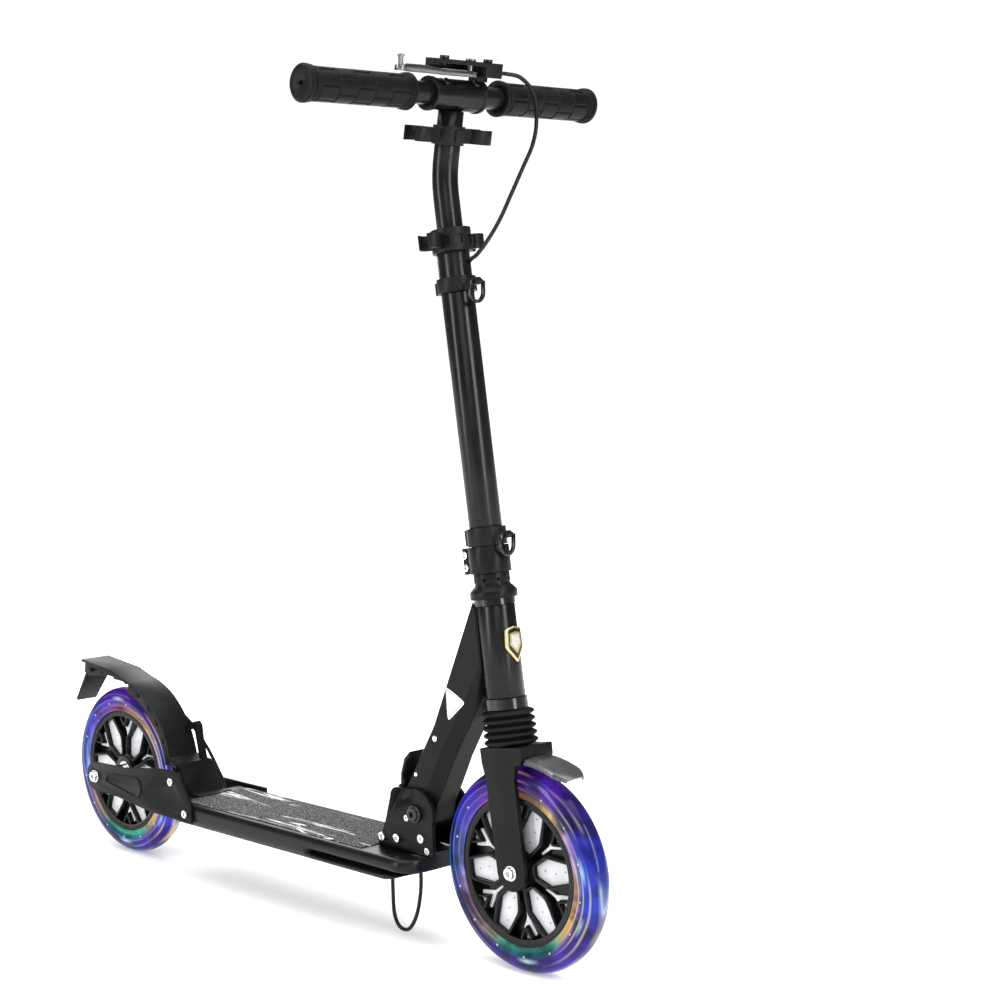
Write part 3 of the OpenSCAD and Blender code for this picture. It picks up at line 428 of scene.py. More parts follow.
def lit_urethane(name, place, tilt, outer, inner):
    """Clear tyre lit from inside.

    Colours follow the angle round the wheel in two bands, a deep one outside and a hot one
    beside the rim. Light trails run round the wheel, painted glints (pale highlights) sit on
    them at four fixed places, and small white lamps sit every 25 degrees.
    """
    material, tree, shader, where = start(
        name, Roughness=0.22, Coat_Weight=0.12, Coat_Roughness=0.04, Specular_IOR_Level=0.08,
        Emission_Strength=1.0)
    share, radius = wheel_polar(tree, where, place, tilt)
    warp = noise(tree, where, 22.0, 3.0, 0.8)
    near_rim = add_node(tree, "ShaderNodeMapRange", {"interpolation_type": "SMOOTHSTEP"},
                        in_0=maths(tree, "ADD", radius, times(tree, warp, 0.004)),
                        in_1=0.0775, in_2=0.0880, in_3=1.0, in_4=0.0).outputs[0]
    ring = mixed(tree, near_rim, ramp(tree, share, outer), ramp(tree, share, inner))
    spots = ramp(tree, warp, [(0.36, grey(0.10)), (0.5, grey(0.42)), (0.64, grey(1.0))])
    light = mixed(tree, 1.0, ring, spots, "MULTIPLY")
    swing = times(tree, maths(tree, "SINE", times(tree, share, 4 * math.pi)), 0.0022)
    sway = times(tree, noise(tree, where, 9.0), 0.008)
    drift = maths(tree, "ADD", radius, maths(tree, "ADD", swing, sway))
    wave = maths(tree, "PINGPONG", maths(tree, "DIVIDE", drift, MM), TRAIL_MM)
    hair = maths(tree, "DIVIDE", wave, TRAIL_MM)
    trail = ramp(tree, hair, [(0.0, grey(0.9)), (0.16, grey(0.35)), (0.45, grey(0.0))])
    shown = ramp(tree, noise(tree, where, 15.0, 1.0), [(0.40, grey(0.0)), (0.54, grey(1.0))])
    zone = ramp(tree, share, [(0.0, grey(1.0)), (0.12, grey(0.45)), (0.25, grey(0.3)),
                              (0.40, grey(0.85)), (0.55, grey(1.0)), (0.68, grey(0.45)),
                              (0.8, grey(0.35)), (0.92, grey(0.6)), (1.0, grey(1.0))])
    glow = ramp(tree, share, [(0.0, (0.10, 0.62, 1.0)), (0.12, (1.0, 0.45, 0.55)),
                              (0.25, (0.08, 0.75, 0.45)), (0.37, (1.0, 0.72, 0.18)),
                              (0.5, (0.45, 0.75, 1.0)), (0.62, (1.0, 0.62, 0.55)),
                              (0.78, (0.85, 0.18, 0.10)), (0.9, (0.16, 0.16, 1.0)),
                              (1.0, (0.10, 0.62, 1.0))])
    beam = times(tree, trail, shown, zone)
    trails = mixed(tree, beam, light, glow)
    # Painted glints: pale cyan-white highlights at four fixed angles round the wheel, narrow about their ring,
    # laid over the glow.
    painted_glint = ramp(tree, share, [(0.225, grey(0)), (0.25, grey(1)), (0.28, grey(0)),
                               (0.385, grey(0)), (0.41, grey(0.7)), (0.43, grey(0)),
                               (0.48, grey(0)), (0.505, grey(1)), (0.535, grey(0)),
                               (0.735, grey(0)), (0.76, grey(0.9)), (0.785, grey(0))])
    off_ring = maths(tree, "ABSOLUTE", maths(tree, "SUBTRACT", drift, PAINTED_GLINT_RADIUS))
    narrow = ramp(tree, times(tree, off_ring, 200.0), [(0.0, grey(1)),
                                                                   (0.6, grey(0))])
    glare = mixed(tree, times(tree, painted_glint, narrow), trails, (0.55, 0.82, 1.0))
    step = maths(tree, "FRACT", times(tree, share, LAMPS_A_TURN))
    along = times(tree, maths(tree, "SUBTRACT", step, 0.5), LAMP_SPACING)
    inward = maths(tree, "SUBTRACT", radius, LAMP_RADIUS)
    far = length(tree, along, inward)
    lamp = ramp(tree, times(tree, far, 200.0), [(0.14, grey(1.0)), (0.28, grey(0))])
    lit = mixed(tree, times(tree, lamp, 0.7), glare, (0.9, 0.95, 1.0))
    tree.links.new(lit, shader.inputs["Emission Color"])
    body = mixed(tree, 0.93, light, (0.004, 0.004, 0.014))
    tree.links.new(body, shader.inputs["Base Color"])
    bump(tree, shader, hair, 0.15, 0.0006)
    return material


PETAL_DOTS = ((0.031, 0.001), (0.044, -0.0015), (0.057, 0.001))


def petal_plastic(name, place, tilt, colour):
    """Pale petals: clouded milky plastic with three small dark dots down each petal."""
    material, tree, shader, where = start(name, Roughness=0.32, Specular_IOR_Level=0.45,
                                          Coat_Weight=0.3, Coat_Roughness=0.12)
    share, radius = wheel_polar(tree, where, place, tilt)
    sixth = maths(tree, "FRACT", maths(tree, "ADD", times(tree, share, 6.0), 0.5))
    aside = times(tree, maths(tree, "SUBTRACT", sixth, 0.5), math.pi / 3)
    x = times(tree, radius, maths(tree, "COSINE", aside))
    y = times(tree, radius, maths(tree, "SINE", aside))
    nearest = 1.0
    for dot_x, dot_y in PETAL_DOTS:
        dx, dy = maths(tree, "SUBTRACT", x, dot_x), maths(tree, "SUBTRACT", y, dot_y)
        nearest = maths(tree, "MINIMUM", nearest, length(tree, dx, dy))
    dot = ramp(tree, times(tree, nearest, 1000.0), [(0.75, grey(0)), (0.95, grey(1))])
    cloud = noise(tree, where, 45.0, 5.0, 0.4)
    milky = ramp(tree, cloud, [(0.3, tuple(c * 0.82 for c in colour)), (0.68, colour)])
    tree.links.new(mixed(tree, dot, (0.03, 0.03, 0.035), milky), shader.inputs["Base Color"])
    bump(tree, shader, noise(tree, where, 260.0, 4.0), 0.18, 0.0004)
    return material


def gritty_tape(name):
    """Grip tape: coarse mineral grains, and pale torn streaks that run along the deck."""
    material, tree, shader, where = start(name, Specular_IOR_Level=0.3)
    grains = noise(tree, where, 900.0, 4.0)
    speck = ramp(tree, grains, [(0.40, grey(0.006)), (0.52, grey(0.03)), (0.64, grey(0.20))])
    long = add_node(tree, "ShaderNodeMapping", Vector=where, Scale=(9.0, 75.0, 1.0)).outputs[0]
    flow = noise(tree, long, 1.0, 5.0, 0.9)
    lines = ramp(tree, flow, [(0.555, grey(0)), (0.575, grey(1)), (0.60, grey(1)),
                              (0.62, grey(0))])
    torn = add_node(tree, "ShaderNodeMapping", Vector=where, Scale=(7.0, 16.0, 1.0)).outputs[0]
    patches = ramp(tree, noise(tree, torn, 1.0, 2.0), [(0.47, grey(0)), (0.56, grey(1))])
    paint = times(tree, lines, patches, 0.95)
    streaked = mixed(tree, paint, speck, (0.72, 0.72, 0.72))
    tree.links.new(streaked, shader.inputs["Base Color"])
    rough = ramp(tree, grains, [(0.3, grey(0.95)), (0.75, grey(0.5))])
    tree.links.new(rough, shader.inputs["Roughness"])
    bump(tree, shader, grains, 0.9, 0.0007)
    return material


def prism_red(name):
    """Reflector: red lens of small raised cells in four panels, with painted highlight and shade
    on each cell and a faint painted glow.
    """
    material, tree, shader, where = start(name, Roughness=0.18, Coat_Weight=0.8,
                                          Coat_Roughness=0.08, Emission_Strength=0.25)
    cells = add_node(tree, "ShaderNodeTexVoronoi", {"distance": "MANHATTAN"}, Vector=where,
                     Scale=330.0, Randomness=0.15).outputs["Distance"]
    # Painted highlight and shade: each cell's red is lightest at its middle and darkest at its edge. The same red
    # feeds the emission at 0.25, a painted glow.
    red = ramp(tree, cells, [(0.1, (0.95, 0.16, 0.12)), (0.5, (0.72, 0.015, 0.015)),
                             (0.8, (0.25, 0.0, 0.0))])
    tree.links.new(red, shader.inputs["Base Color"])
    tree.links.new(red, shader.inputs["Emission Color"])
    bump(tree, shader, cells, 0.8, 0.0009)
    return material


def ringed_film(name, stops, sheen):
    """Printed film: its colour follows the map's U from the middle to the rim, lightly marbled."""
    material, tree, shader, where = start(name, Metallic=sheen, Coat_Weight=0.5,
                                          Coat_Roughness=0.1)
    uv = add_node(tree, "ShaderNodeUVMap", {"uv_map": "place"}).outputs[0]
    out = add_node(tree, "ShaderNodeSeparateXYZ", Vector=uv).outputs[0]
    print_colour = ramp(tree, out, stops, "CONSTANT")
    marble = ramp(tree, noise(tree, where, 400.0, 3.0), [(0.3, grey(0.85)), (0.7, grey(1.0))])
    tree.links.new(mixed(tree, 1.0, print_colour, marble, "MULTIPLY"), shader.inputs["Base Color"])
    rough = ramp(tree, noise(tree, where, 120.0), [(0.3, grey(0.22)), (0.7, grey(0.36))])
    tree.links.new(rough, shader.inputs["Roughness"])
    return material


def studio_floor(name):
    """Matt pale floor with the faintest cloudiness, brighter far from the scooter."""
    material, tree, shader, where = start(name, Roughness=0.9, Specular_IOR_Level=0.05,
                                          Emission_Color=(1, 1, 1, 1))
    tone = ramp(tree, noise(tree, where, 3.0), [(0.3, grey(0.88)), (0.7, grey(0.90))])
    tree.links.new(tone, shader.inputs["Base Color"])
    flat = add_node(tree, "ShaderNodeVectorMath", {"operation": "LENGTH"}, in_0=where)
    far = add_node(tree, "ShaderNodeMapRange", {"interpolation_type": "SMOOTHSTEP"},
                   in_0=flat.outputs["Value"], in_1=0.3, in_2=2.4, in_3=0.22, in_4=1.0)
    tree.links.new(far.outputs[0], shader.inputs["Emission Strength"])
    return material


class Finishes:
    """Makes each material once, when a piece first asks for it."""

    made = {}

    @classmethod
    def get(cls, name, maker, *values, **more):
        if name not in cls.made:
            cls.made[name] = maker(name, *values, **more)
        return cls.made[name]


# finish: (colour property, roughness, grains to the metre, grain strength, coat, gloss)
BLACKS = {
    "satin_paint": ("paint", 0.36, 1400.0, 0.10, 0.03, 0.09),
    "tube_paint": ("paint", 0.25, 2200.0, 0.04, 0.09, 0.13),
    "deck_paint": ("paint", 0.34, 1100.0, 0.10, 0.05, 0.14),
    "moulded_plastic": ("plastic", 0.43, 900.0, 0.18, 0.0, 0.12),
    "wheel_plastic": ("plastic", 0.25, 700.0, 0.06, 0.08, 0.15),
    "soft_rubber": ("rubber", 0.46, 1700.0, 0.20, 0.0, 0.10),
    "cable_jacket": ("rubber", 0.32, 2600.0, 0.10, 0.0, 0.16),
    "black_metal": ("paint", 0.18, 2600.0, 0.04, 0.20, 0.25),
}


def black(name):
    """One of the black finishes, in the colour that the panel gives it."""
    colour, *values = BLACKS[name]
    return Finishes.get(name, coated, tuple(getattr(bpy.context.scene.scooter_colours, colour)),
                        *values)


def steel():
    return Finishes.get("plated_steel", bright_metal, (0.72, 0.72, 0.74), 0.2, 0.2)


def grey_metal():
    return Finishes.get("lever_metal", bright_metal, (0.17, 0.17, 0.18), 0.28, 0.1)


# ---------- properties ----------
class ScooterSizes(bpy.types.PropertyGroup):
    """Sizes that a user would change."""

    edge: bpy.props.FloatProperty(
        name="Edge rounding", description="Rounding of the frame's edges",
        default=0.0006, min=0.0002, max=0.002, unit="LENGTH")
    tyre_section: bpy.props.FloatProperty(
        name="Tyre section radius", description="Radius of the tyre's round section",
        default=0.015, unit="LENGTH")
    grip_tile: bpy.props.FloatProperty(
        name="Grip tile height", description="How far a grip's tiles stand out",
        default=0.0014, unit="LENGTH")
    bellows_depth: bpy.props.FloatProperty(
        name="Bellows depth", description="Depth of the valleys between the bellows' ridges",
        default=0.0058, unit="LENGTH")
    cable_radius: bpy.props.FloatProperty(
        name="Cable radius", description="Radius of the brake cable's jacket",
        default=0.002, unit="LENGTH")
    grip_rows: bpy.props.IntProperty(
        name="Grip tile rows", description="Rows of tiles along a grip", default=5, min=3, max=9)
    bellows_ridges: bpy.props.IntProperty(
        name="Bellows ridges", description="Number of ridges on the bellows", default=5, min=3)


class ScooterColours(bpy.types.PropertyGroup):
    """Colours that a user would change."""

    paint: bpy.props.FloatVectorProperty(
        name="Frame paint", description="Colour of the painted frame", subtype="COLOR",
        default=(0.0040, 0.0040, 0.0043), min=0, max=1)
    plastic: bpy.props.FloatVectorProperty(
        name="Plastic", description="Colour of the moulded pieces", subtype="COLOR",
        default=(0.0048, 0.0048, 0.0051), min=0, max=1)
    rubber: bpy.props.FloatVectorProperty(
        name="Rubber", description="Colour of grips, bellows and cables", subtype="COLOR",
        default=(0.0040, 0.0040, 0.0040), min=0, max=1)
    petal: bpy.props.FloatVectorProperty(
        name="Petals", description="Colour of the wheels' pale petals", subtype="COLOR",
        default=(0.56, 0.57, 0.59), min=0, max=1)


# ---------- wheels ----------
OUTER_LIGHT = [(0.0, (0.010, 0.045, 0.62)), (0.08, (0.010, 0.020, 0.42)),
               (0.19, (0.035, 0.008, 0.27)), (0.27, (0.040, 0.010, 0.30)),
               (0.36, (0.060, 0.014, 0.34)), (0.46, (0.030, 0.060, 0.62)),
               (0.53, (0.020, 0.035, 0.50)), (0.64, (0.060, 0.012, 0.30)),
               (0.75, (0.050, 0.010, 0.26)), (0.86, (0.015, 0.012, 0.42)),
               (0.95, (0.008, 0.030, 0.55)), (1.0, (0.010, 0.045, 0.62))]
INNER_LIGHT = [(0.0, (0.30, 0.30, 0.78)), (0.07, (0.62, 0.30, 0.42)), (0.13, (0.55, 0.42, 0.22)),
               (0.18, (0.03, 0.34, 0.20)), (0.25, (0.0, 0.40, 0.27)), (0.32, (0.02, 0.42, 0.25)),
               (0.38, (0.62, 0.36, 0.06)), (0.47, (0.70, 0.36, 0.20)), (0.55, (0.42, 0.22, 0.62)),
               (0.63, (0.62, 0.42, 0.10)), (0.75, (0.18, 0.03, 0.05)), (0.87, (0.05, 0.04, 0.45)),
               (1.0, (0.30, 0.30, 0.78))]


TYRE_RADIUS = 100.0
RIM_SEAT = 77.55


def tyre_grid(section):
    """Section: a round of the given radius centred so that it reaches the wheel's radius, cut
    off where it meets the rim seat. On each side a thin lip lies on the rim's flank down to a
    radius of 72.8 mm. The section is closed at the seat and turned about the axle.
    """
    centre = TYRE_RADIUS - section
    reach = math.acos((RIM_SEAT - centre) / section)
    a = np.linspace(-reach, reach, 61)
    arc = np.stack([centre + section * np.cos(a), section * np.sin(a)], axis=1)
    lip = np.array([[76.6, 13.5], [75.4, 13.8], [73.8, 13.8], [73.0, 13.55], [72.8, 13.2],
                    [73.2, 13.06], [77.4, 13.03]])
    other = lip[::-1] * np.array([1, -1])
    return revolve(np.vstack([other, arc, lip]), 192)


def rim_band_grid(side):
    """Ring on the rim's flank: 220 radial ribs, each a half cosine wave 0.45 mm high."""
    ribs, steps = 220, 220 * 6
    profile = np.array([[67.5, 12.6], [68.1, 13.1], [68.5, 13.1], [72.0, 13.1], [72.5, 12.9],
                        [72.6, 12.4]])
    turn = np.linspace(0, 2 * np.pi, steps, endpoint=False)
    high = 0.45 * (0.5 + 0.5 * np.cos(ribs * turn))
    grid = revolve(profile, steps)
    lift = np.array([0, 0, 1, 1, 0, 0])[:, None] * high[None, :]
    grid[..., 1] += lift
    grid[..., 1] *= side
    return grid


PETAL_OUTLINE = [[18.8, -6.2], [38, -15.0], [67, -9.9], [67, 9.9], [38, 15.0], [18.8, 6.2]]
WINDOW_OUTLINE = [[54, 0], [66.5, -8], [66.5, 8]]


def rim_mouldings(place, side):
    """Rounded ribs round the six petals and the six windows between them, on one face."""
    petal = moulding(PETAL_OUTLINE, 4.0, 1.7, 12, 10.6 * side)
    window = moulding(WINDOW_OUTLINE, 3.0, 1.5, 12, 10.6 * side)
    sixth = math.pi / 3
    petals = [put(about_axle(petal, k * sixth), place) for k in range(6)]
    windows = [put(about_axle(window, (k + 0.5) * sixth), place) for k in range(6)]
    return petals, windows


class SCOOTER_OT_tyres(bpy.types.Operator):
    """Clear tyres, lit from inside, with a round section"""

    bl_idname = "scooter.tyres"
    bl_label = "Lit tyres"

    def execute(self, context):
        section = context.scene.scooter_sizes.tyre_section / MM
        for end, place, tilt in (("front", STEER, TILT), ("rear", REAR, 0.0)):
            grid = tyre_grid(section)
            piece = mesh_piece(f"{end}_tyre_skin", put(grid, place), f"{end}_wheel",
                               wrap_rows=True, wrap_cols=True)
            look = Finishes.get(f"lit_urethane_{end}", lit_urethane, place, tilt, OUTER_LIGHT,
                                INNER_LIGHT)
            dress(piece, look, f"{end}_tyre")
        return {"FINISHED"}


class SCOOTER_OT_wheel_discs(bpy.types.Operator):
    """Rims with raised ribs and a finely ribbed band, petals, bearings and the brake disc"""

    bl_idname = "scooter.wheel_discs"
    bl_label = "Rims and petals"

    def execute(self, context):
        colour = tuple(context.scene.scooter_colours.petal)
        for end, place, tilt in (("front", STEER, TILT), ("rear", REAR, 0.0)):
            refined(f"{end}_rim", black("wheel_plastic"), 0.0011, 3)
            pale = Finishes.get(f"{end}_petals", petal_plastic, place, tilt, colour)
            refined(f"{end}_petals", pale, 0.0005)
            for side, word in ((-1, "right"), (1, "left")):
                for shape, grids in zip(("petal", "window"), rim_mouldings(place, side)):
                    rib = many_grids(f"{end}_{shape}_ribs_{word}", grids, f"{end}_wheel")
                    dress(rib, black("wheel_plastic"))
                band = mesh_piece(f"{end}_rim_band_{word}", put(rim_band_grid(side), place),
                                  f"{end}_wheel", wrap_rows=True, wrap_cols=True)
                dress(band, black("wheel_plastic"))
            repaint(steel(), f"{end}_bearings")
        refined("brake_disc", steel(), 0.0003)
        return {"FINISHED"}


# ---------- deck and rear frame ----------
def deck_grid():
    """Deck lofted along its length from closed sections.

    Behind the slot a section is flat on top, round at its upper edge and bulged down to a flat
    belly. From the slot on, the platform's edge is half round, a mouth opens under it, and the
    lip below keeps its own half width. A smooth step over 10 mm leads from one to the other.
    Both plans have round front corners; the belly rises at its nose.
    """
    x = np.concatenate([[150], np.linspace(378, 392, 15), np.linspace(400, 510, 12),
                        526 - 26 * (1 - np.sin(np.linspace(0.7, np.pi / 2, 12))), [526.02],
                        540 - 13.5 * (1 - np.sin(np.linspace(0.1, np.pi / 2, 12)))])
    x = np.unique(x)
    plan = 30 + np.sqrt(np.clip(22**2 - np.clip(x - 518, 0, 22) ** 2, 0, None))
    lip = 17 + np.sqrt(np.clip(32**2 - np.clip(x - 494, 0, 32) ** 2, 0, None))
    one = np.ones_like(x)
    turn = np.radians(np.linspace(90, 0, 6))
    top = [(0 * x, 94 * one), (plan - 20, 94 * one)]
    top += [(plan - 6 + 6 * np.cos(a), (88 + 6 * np.sin(a)) * one) for a in turn]
    rear = [(52, 84), (51.9, 81.5), (51.8, 80), (51.7, 79), (51.6, 78.4), (51.4, 77),
            (51.0, 75.6), (50.2, 73.8), (49, 72), (47.2, 70.3), (45, 68.9), (43, 68), (0, 68)]
    fore = [(plan, 85), (plan - 0.7, 82.6), (plan - 2.6, 80.8), (plan - 6, 80),
            (plan - 12, 79.9), (lip - 11, 75.6), (lip - 2.5, 75.0), (lip - 0.6, 74.2),
            (lip, 72.8), (lip - 1, 70.8), (lip - 3.2, 69), (lip - 6, 68), (0 * x, 68)]
    mix = smoothstep((x - 381) / 10)
    side = [(a[0] * (1 - mix) + b[0] * mix, a[1] * (1 - mix) + b[1] * mix)
            for a, b in zip(rear, fore)]
    y = np.stack([p[0] for p in top + side], axis=1)
    z = np.stack([p[1] * one for p in top + side], axis=1)
    belly = 68 + 7 * smoothstep((x - 500) / 26)
    lower = np.arange(z.shape[1]) >= len(top) + 5
    z = np.where(lower, np.maximum(z, belly[:, None]), z)
    z = np.where(lower & (x > 526)[:, None], 79.85, z)
    y = np.where(lower & (x > 526)[:, None], np.minimum(y, (plan - 12)[:, None]), y)
    right = np.stack([np.broadcast_to(x[:, None], y.shape), -y, z], axis=-1)
    left = right[:, -2:0:-1] * np.array([1, -1, 1])
    return np.concatenate([right, left], axis=1)


class SCOOTER_OT_deck(bpy.types.Operator):
    """Deck extrusion, tray and grip tape"""

    bl_idname = "scooter.deck"
    bl_label = "Deck"

    def execute(self, context):
        deck = mesh_piece("deck_skin", put(deck_grid(), SIDE), "deck", wrap_cols=True, caps=True)
        deck.data.set_sharp_from_angle(angle=math.radians(50))
        dress(deck, black("deck_paint"), "deck_platform", "deck_tray")
        refined("grip_tape", Finishes.get("gritty_tape", gritty_tape), 0.0003)
        return {"FINISHED"}


class SCOOTER_OT_rear_frame(bpy.types.Operator):
    """Stays, fender bracket, rear brake and the rear axle"""

    bl_idname = "scooter.rear_frame"
    bl_label = "Rear frame"

    def execute(self, context):
        edge = context.scene.scooter_sizes.edge
        refine_all(black("satin_paint"), edge, 2, "stay_right", "stay_left", "fender_bracket")
        refined("brake_caliper", black("moulded_plastic"), 0.0012, 3)
        refined("caliper_arm", steel(), 0.0006)
        refined("rear_axle", steel(), 0.0004)
        return {"FINISHED"}


class SCOOTER_OT_rear_fender(bpy.types.Operator):
    """Fender arch with its skirts, flap and reflector"""

    bl_idname = "scooter.rear_fender"
    bl_label = "Rear fender"

    def execute(self, context):
        refined("rear_fender", black("moulded_plastic"), 0.0009, 3)
        refine_all(black("moulded_plastic"), 0.0006, 2, "fender_skirts", "mud_flap")
        refined("reflector", Finishes.get("prism_red", prism_red), 0.0003)
        return {"FINISHED"}


# ---------- fold and neck ----------
class SCOOTER_OT_fold(bpy.types.Operator):
    """Folding bracket, its base, pins and screws, and the release pedal"""

    bl_idname = "scooter.fold"
    bl_label = "Fold bracket"

    def execute(self, context):
        edge = context.scene.scooter_sizes.edge
        refine_all(black("satin_paint"), edge * 1.6, 3, "bracket_plate_right",
                   "bracket_plate_left", "bracket_base")
        refined("release_pedal", black("moulded_plastic"), 0.0008)
        refined("hinge_pins", black("black_metal"), 0.0005)
        refined("deck_bolts", steel(), 0.00035)
        return {"FINISHED"}


def neck_grid():
    """Loft from the fold pin up to the head tube.

    The rear and front edges are polylines in side view. Each section is an octagon: flat
    sides, a small chamfer at the rear and a wide chamfer at the front, so a ridge runs up
    each side. The half width shrinks from 20 to 17.4 mm over the height.
    """
    turn = np.radians(np.linspace(0, 75, 6))[:, None]
    pin = np.array([527.0, 137.0])
    rear_arc = pin + 17 * np.hstack([-np.sin(turn), -np.cos(turn)])
    front_arc = pin + 17 * np.hstack([np.sin(turn), -np.cos(turn)])
    rear_line = np.array([[509.5, 143], [505, 157], [527, 194], [548, 229], [566, 270.6],
                          [585, 314.4], [603, 356]])
    front_line = np.array([[546, 146], [551, 155.8], [562, 177], [572, 197], [597, 238],
                           [627, 288], [621, 356]])
    rear = np.vstack([rear_arc, rear_line])
    front = np.vstack([front_arc, front_line])
    middle = (rear[:, 1] + front[:, 1]) / 2
    half = 20 - 2.6 * np.clip((middle - 160) / 200, 0, 1)
    span = front - rear
    length = np.linalg.norm(span, axis=1)[:, None]
    ahead = span / np.maximum(length, 1e-6)
    back = np.minimum(3.0, 0.3 * length)
    fore = np.minimum(15.0, 0.45 * length)
    rows = [(rear, half - 3), (rear + ahead * back, half), (front - ahead * fore, half),
            (front, half - 7)]
    ring = [np.column_stack([p[:, 0], y, p[:, 1]]) for p, y in rows]
    mirror = [np.column_stack([p[:, 0], -y, p[:, 1]]) for p, y in rows[::-1]]
    return np.stack(ring + mirror, axis=1)


def cut_away(piece, cutter):
    """Takes the cutter's volume out of a piece, then drops the cutter."""
    tool = piece.modifiers.new("cut", "BOOLEAN")
    tool.operation = "DIFFERENCE"
    tool.solver = "EXACT"
    tool.object = cutter
    graph = bpy.context.evaluated_depsgraph_get()
    mesh = bpy.data.meshes.new_from_object(piece.evaluated_get(graph))
    piece.modifiers.clear()
    piece.data = mesh
    bpy.data.objects.remove(cutter)
    return piece


def rounded_outline(corners, radius, steps):
    """Closed outline of a polygon whose corners are arcs of the given radius."""
    points = np.array(corners, float)
    before, after = np.roll(points, 1, axis=0), np.roll(points, -1, axis=0)
    a = (before - points) / np.linalg.norm(before - points, axis=1)[:, None]
    b = (after - points) / np.linalg.norm(after - points, axis=1)[:, None]
    t = np.linspace(0, 1, steps)[None, :, None]
    p, q = points + a * radius, points + b * radius
    curve = (1 - t) ** 2 * p[:, None] + 2 * t * (1 - t) * points[:, None] + t**2 * q[:, None]
    return curve.reshape(-1, 2)


def plate_grid(outline, rings):
    """Rows of an outline shrunk towards its middle, with U the share from middle to rim."""
    middle = outline.mean(axis=0)
    grid = middle + (outline - middle)[None] * rings[:, None, None]
    uv = np.stack(np.broadcast_arrays(rings[:, None], np.linspace(0, 1, len(outline))[None]), -1)
    return grid, uv


class SCOOTER_OT_neck(bpy.types.Operator):
    """Wedge-shaped neck with a ridge up each side, head tube, rivets, badge and label"""

    bl_idname = "scooter.neck"
    bl_label = "Neck"

    def execute(self, context):
        edge = context.scene.scooter_sizes.edge
        neck = mesh_piece("neck_beam_skin", put(neck_grid(), SIDE), "neck", wrap_cols=True,
                          caps=True)
        soften(neck, 0.0014, 3, 12)
        profile = np.array([[0, 120], [20.6, 120], [20.6, 166.1], [19.05, 166.1],
                            [19.05, 255.9], [20.6, 255.9], [20.6, 290], [0, 290]])
        drum = stand_up(revolve(profile[1:-1], 96))
        cutter = mesh_piece("head_bore", put(drum, STEER), None, wrap_cols=True, caps=True)
        cut_away(neck, cutter)
        dress(neck, black("satin_paint"), "neck_beam")
        refined("head_tube", black("tube_paint"), edge)
        refined("neck_rivets", steel(), 0.0003)
        repaint(black("black_metal"), "headset_cups")
        self.badge()
        return {"FINISHED"}

    def badge(self):
        """Blank shield bent round the head tube and blank triangle on the neck's right side."""
        shield = rounded_outline([[-10.5, 232], [0, 234.5], [10.5, 232], [12, 214], [0, 199],
                                  [-12, 214]], 2.0, 6)
        rings = np.array([0.0, 0.3, 0.52, 0.62, 0.8, 0.9, 1.0])
        flat, uv = plate_grid(shield, rings)
        rise = 21.8 + 0.6 * (1 - rings**6)[:, None] - flat[..., 0] ** 2 / 56.0
        bent = np.stack([rise, flat[..., 0], flat[..., 1]], axis=-1)
        gold, dark = (0.55, 0.42, 0.16), (0.02, 0.02, 0.02)
        film = Finishes.get("badge_film", ringed_film,
                            [(0.0, (0.75, 0.74, 0.66)), (0.45, gold), (0.60, dark), (0.86, gold)],
                            0.7)
        piece = mesh_piece("badge", put(bent, STEER), "neck", wrap_cols=True, uv=uv)
        wall = piece.modifiers.new("wall", "SOLIDIFY")
        wall.thickness = 0.0036
        wall.offset = -1.0
        dress(piece, film, "neck_labels")
        triangle = rounded_outline([[566.4, 271.6], [594.6, 256.9], [570.4, 235.8]], 4.5, 7)
        flat, uv = plate_grid(triangle, rings)
        half = 20 - 2.6 * np.clip((flat[..., 1] - 160) / 200, 0, 1)
        sheet = np.stack([flat[..., 0], -half - 0.25 * (1 - rings**8)[:, None] - 0.05,
                          flat[..., 1]], axis=-1)
        film = Finishes.get("triangle_film", ringed_film,
                            [(0.0, (0.72, 0.62, 0.58)), (0.78, (0.22, 0.05, 0.04)),
                             (0.85, (0.80, 0.74, 0.70))], 0.0)
        piece = mesh_piece("triangle_label", put(sheet, SIDE), "neck", wrap_cols=True, uv=uv)
        dress(piece, film)


# ---------- steering column ----------
class SCOOTER_OT_column(bpy.types.Operator):
    """Stem tube, clamp, headset rings, strap rings, height collar and wire loops"""

    bl_idname = "scooter.column"
    bl_label = "Column"

    def execute(self, context):
        refined("stem_tube", black("tube_paint"), 0.0006)
        refined("steering_clamp", black("satin_paint"), 0.001, 3)
        refined("headset_cap", black("satin_paint"), 0.0009, 3)
        refine_all(black("moulded_plastic"), 0.0008, 3, "strap_ring_lower", "strap_ring_upper",
                   "height_collar")
        refined("clamp_bolts", steel(), 0.0005)
        refine_all(black("black_metal"), 0.0005, 2, "strap_loop_lower", "strap_loop_upper")
        return {"FINISHED"}


# ---------- front end ----------
def bellows_grid(ridges, depth):
    """Rubber sleeve: its radius is 26.4 mm at the ridges and falls by depth towards the valleys
    as one less the absolute sine raised to 0.7; the bore is plain.
    """
    low, high = 120.6, 155.0
    s = np.linspace(0, 1, ridges * 18 + 1)
    wave = np.abs(np.sin(np.pi * ridges * s)) ** 0.7
    taper = 1 - 0.04 * s
    outer = np.stack([(26.4 - depth * (1 - wave)) * taper, low + (high - low) * s], axis=1)
    inner = np.array([[18.7, high], [18.7, low]])
    return stand_up(revolve(np.vstack([outer, inner]), 96))


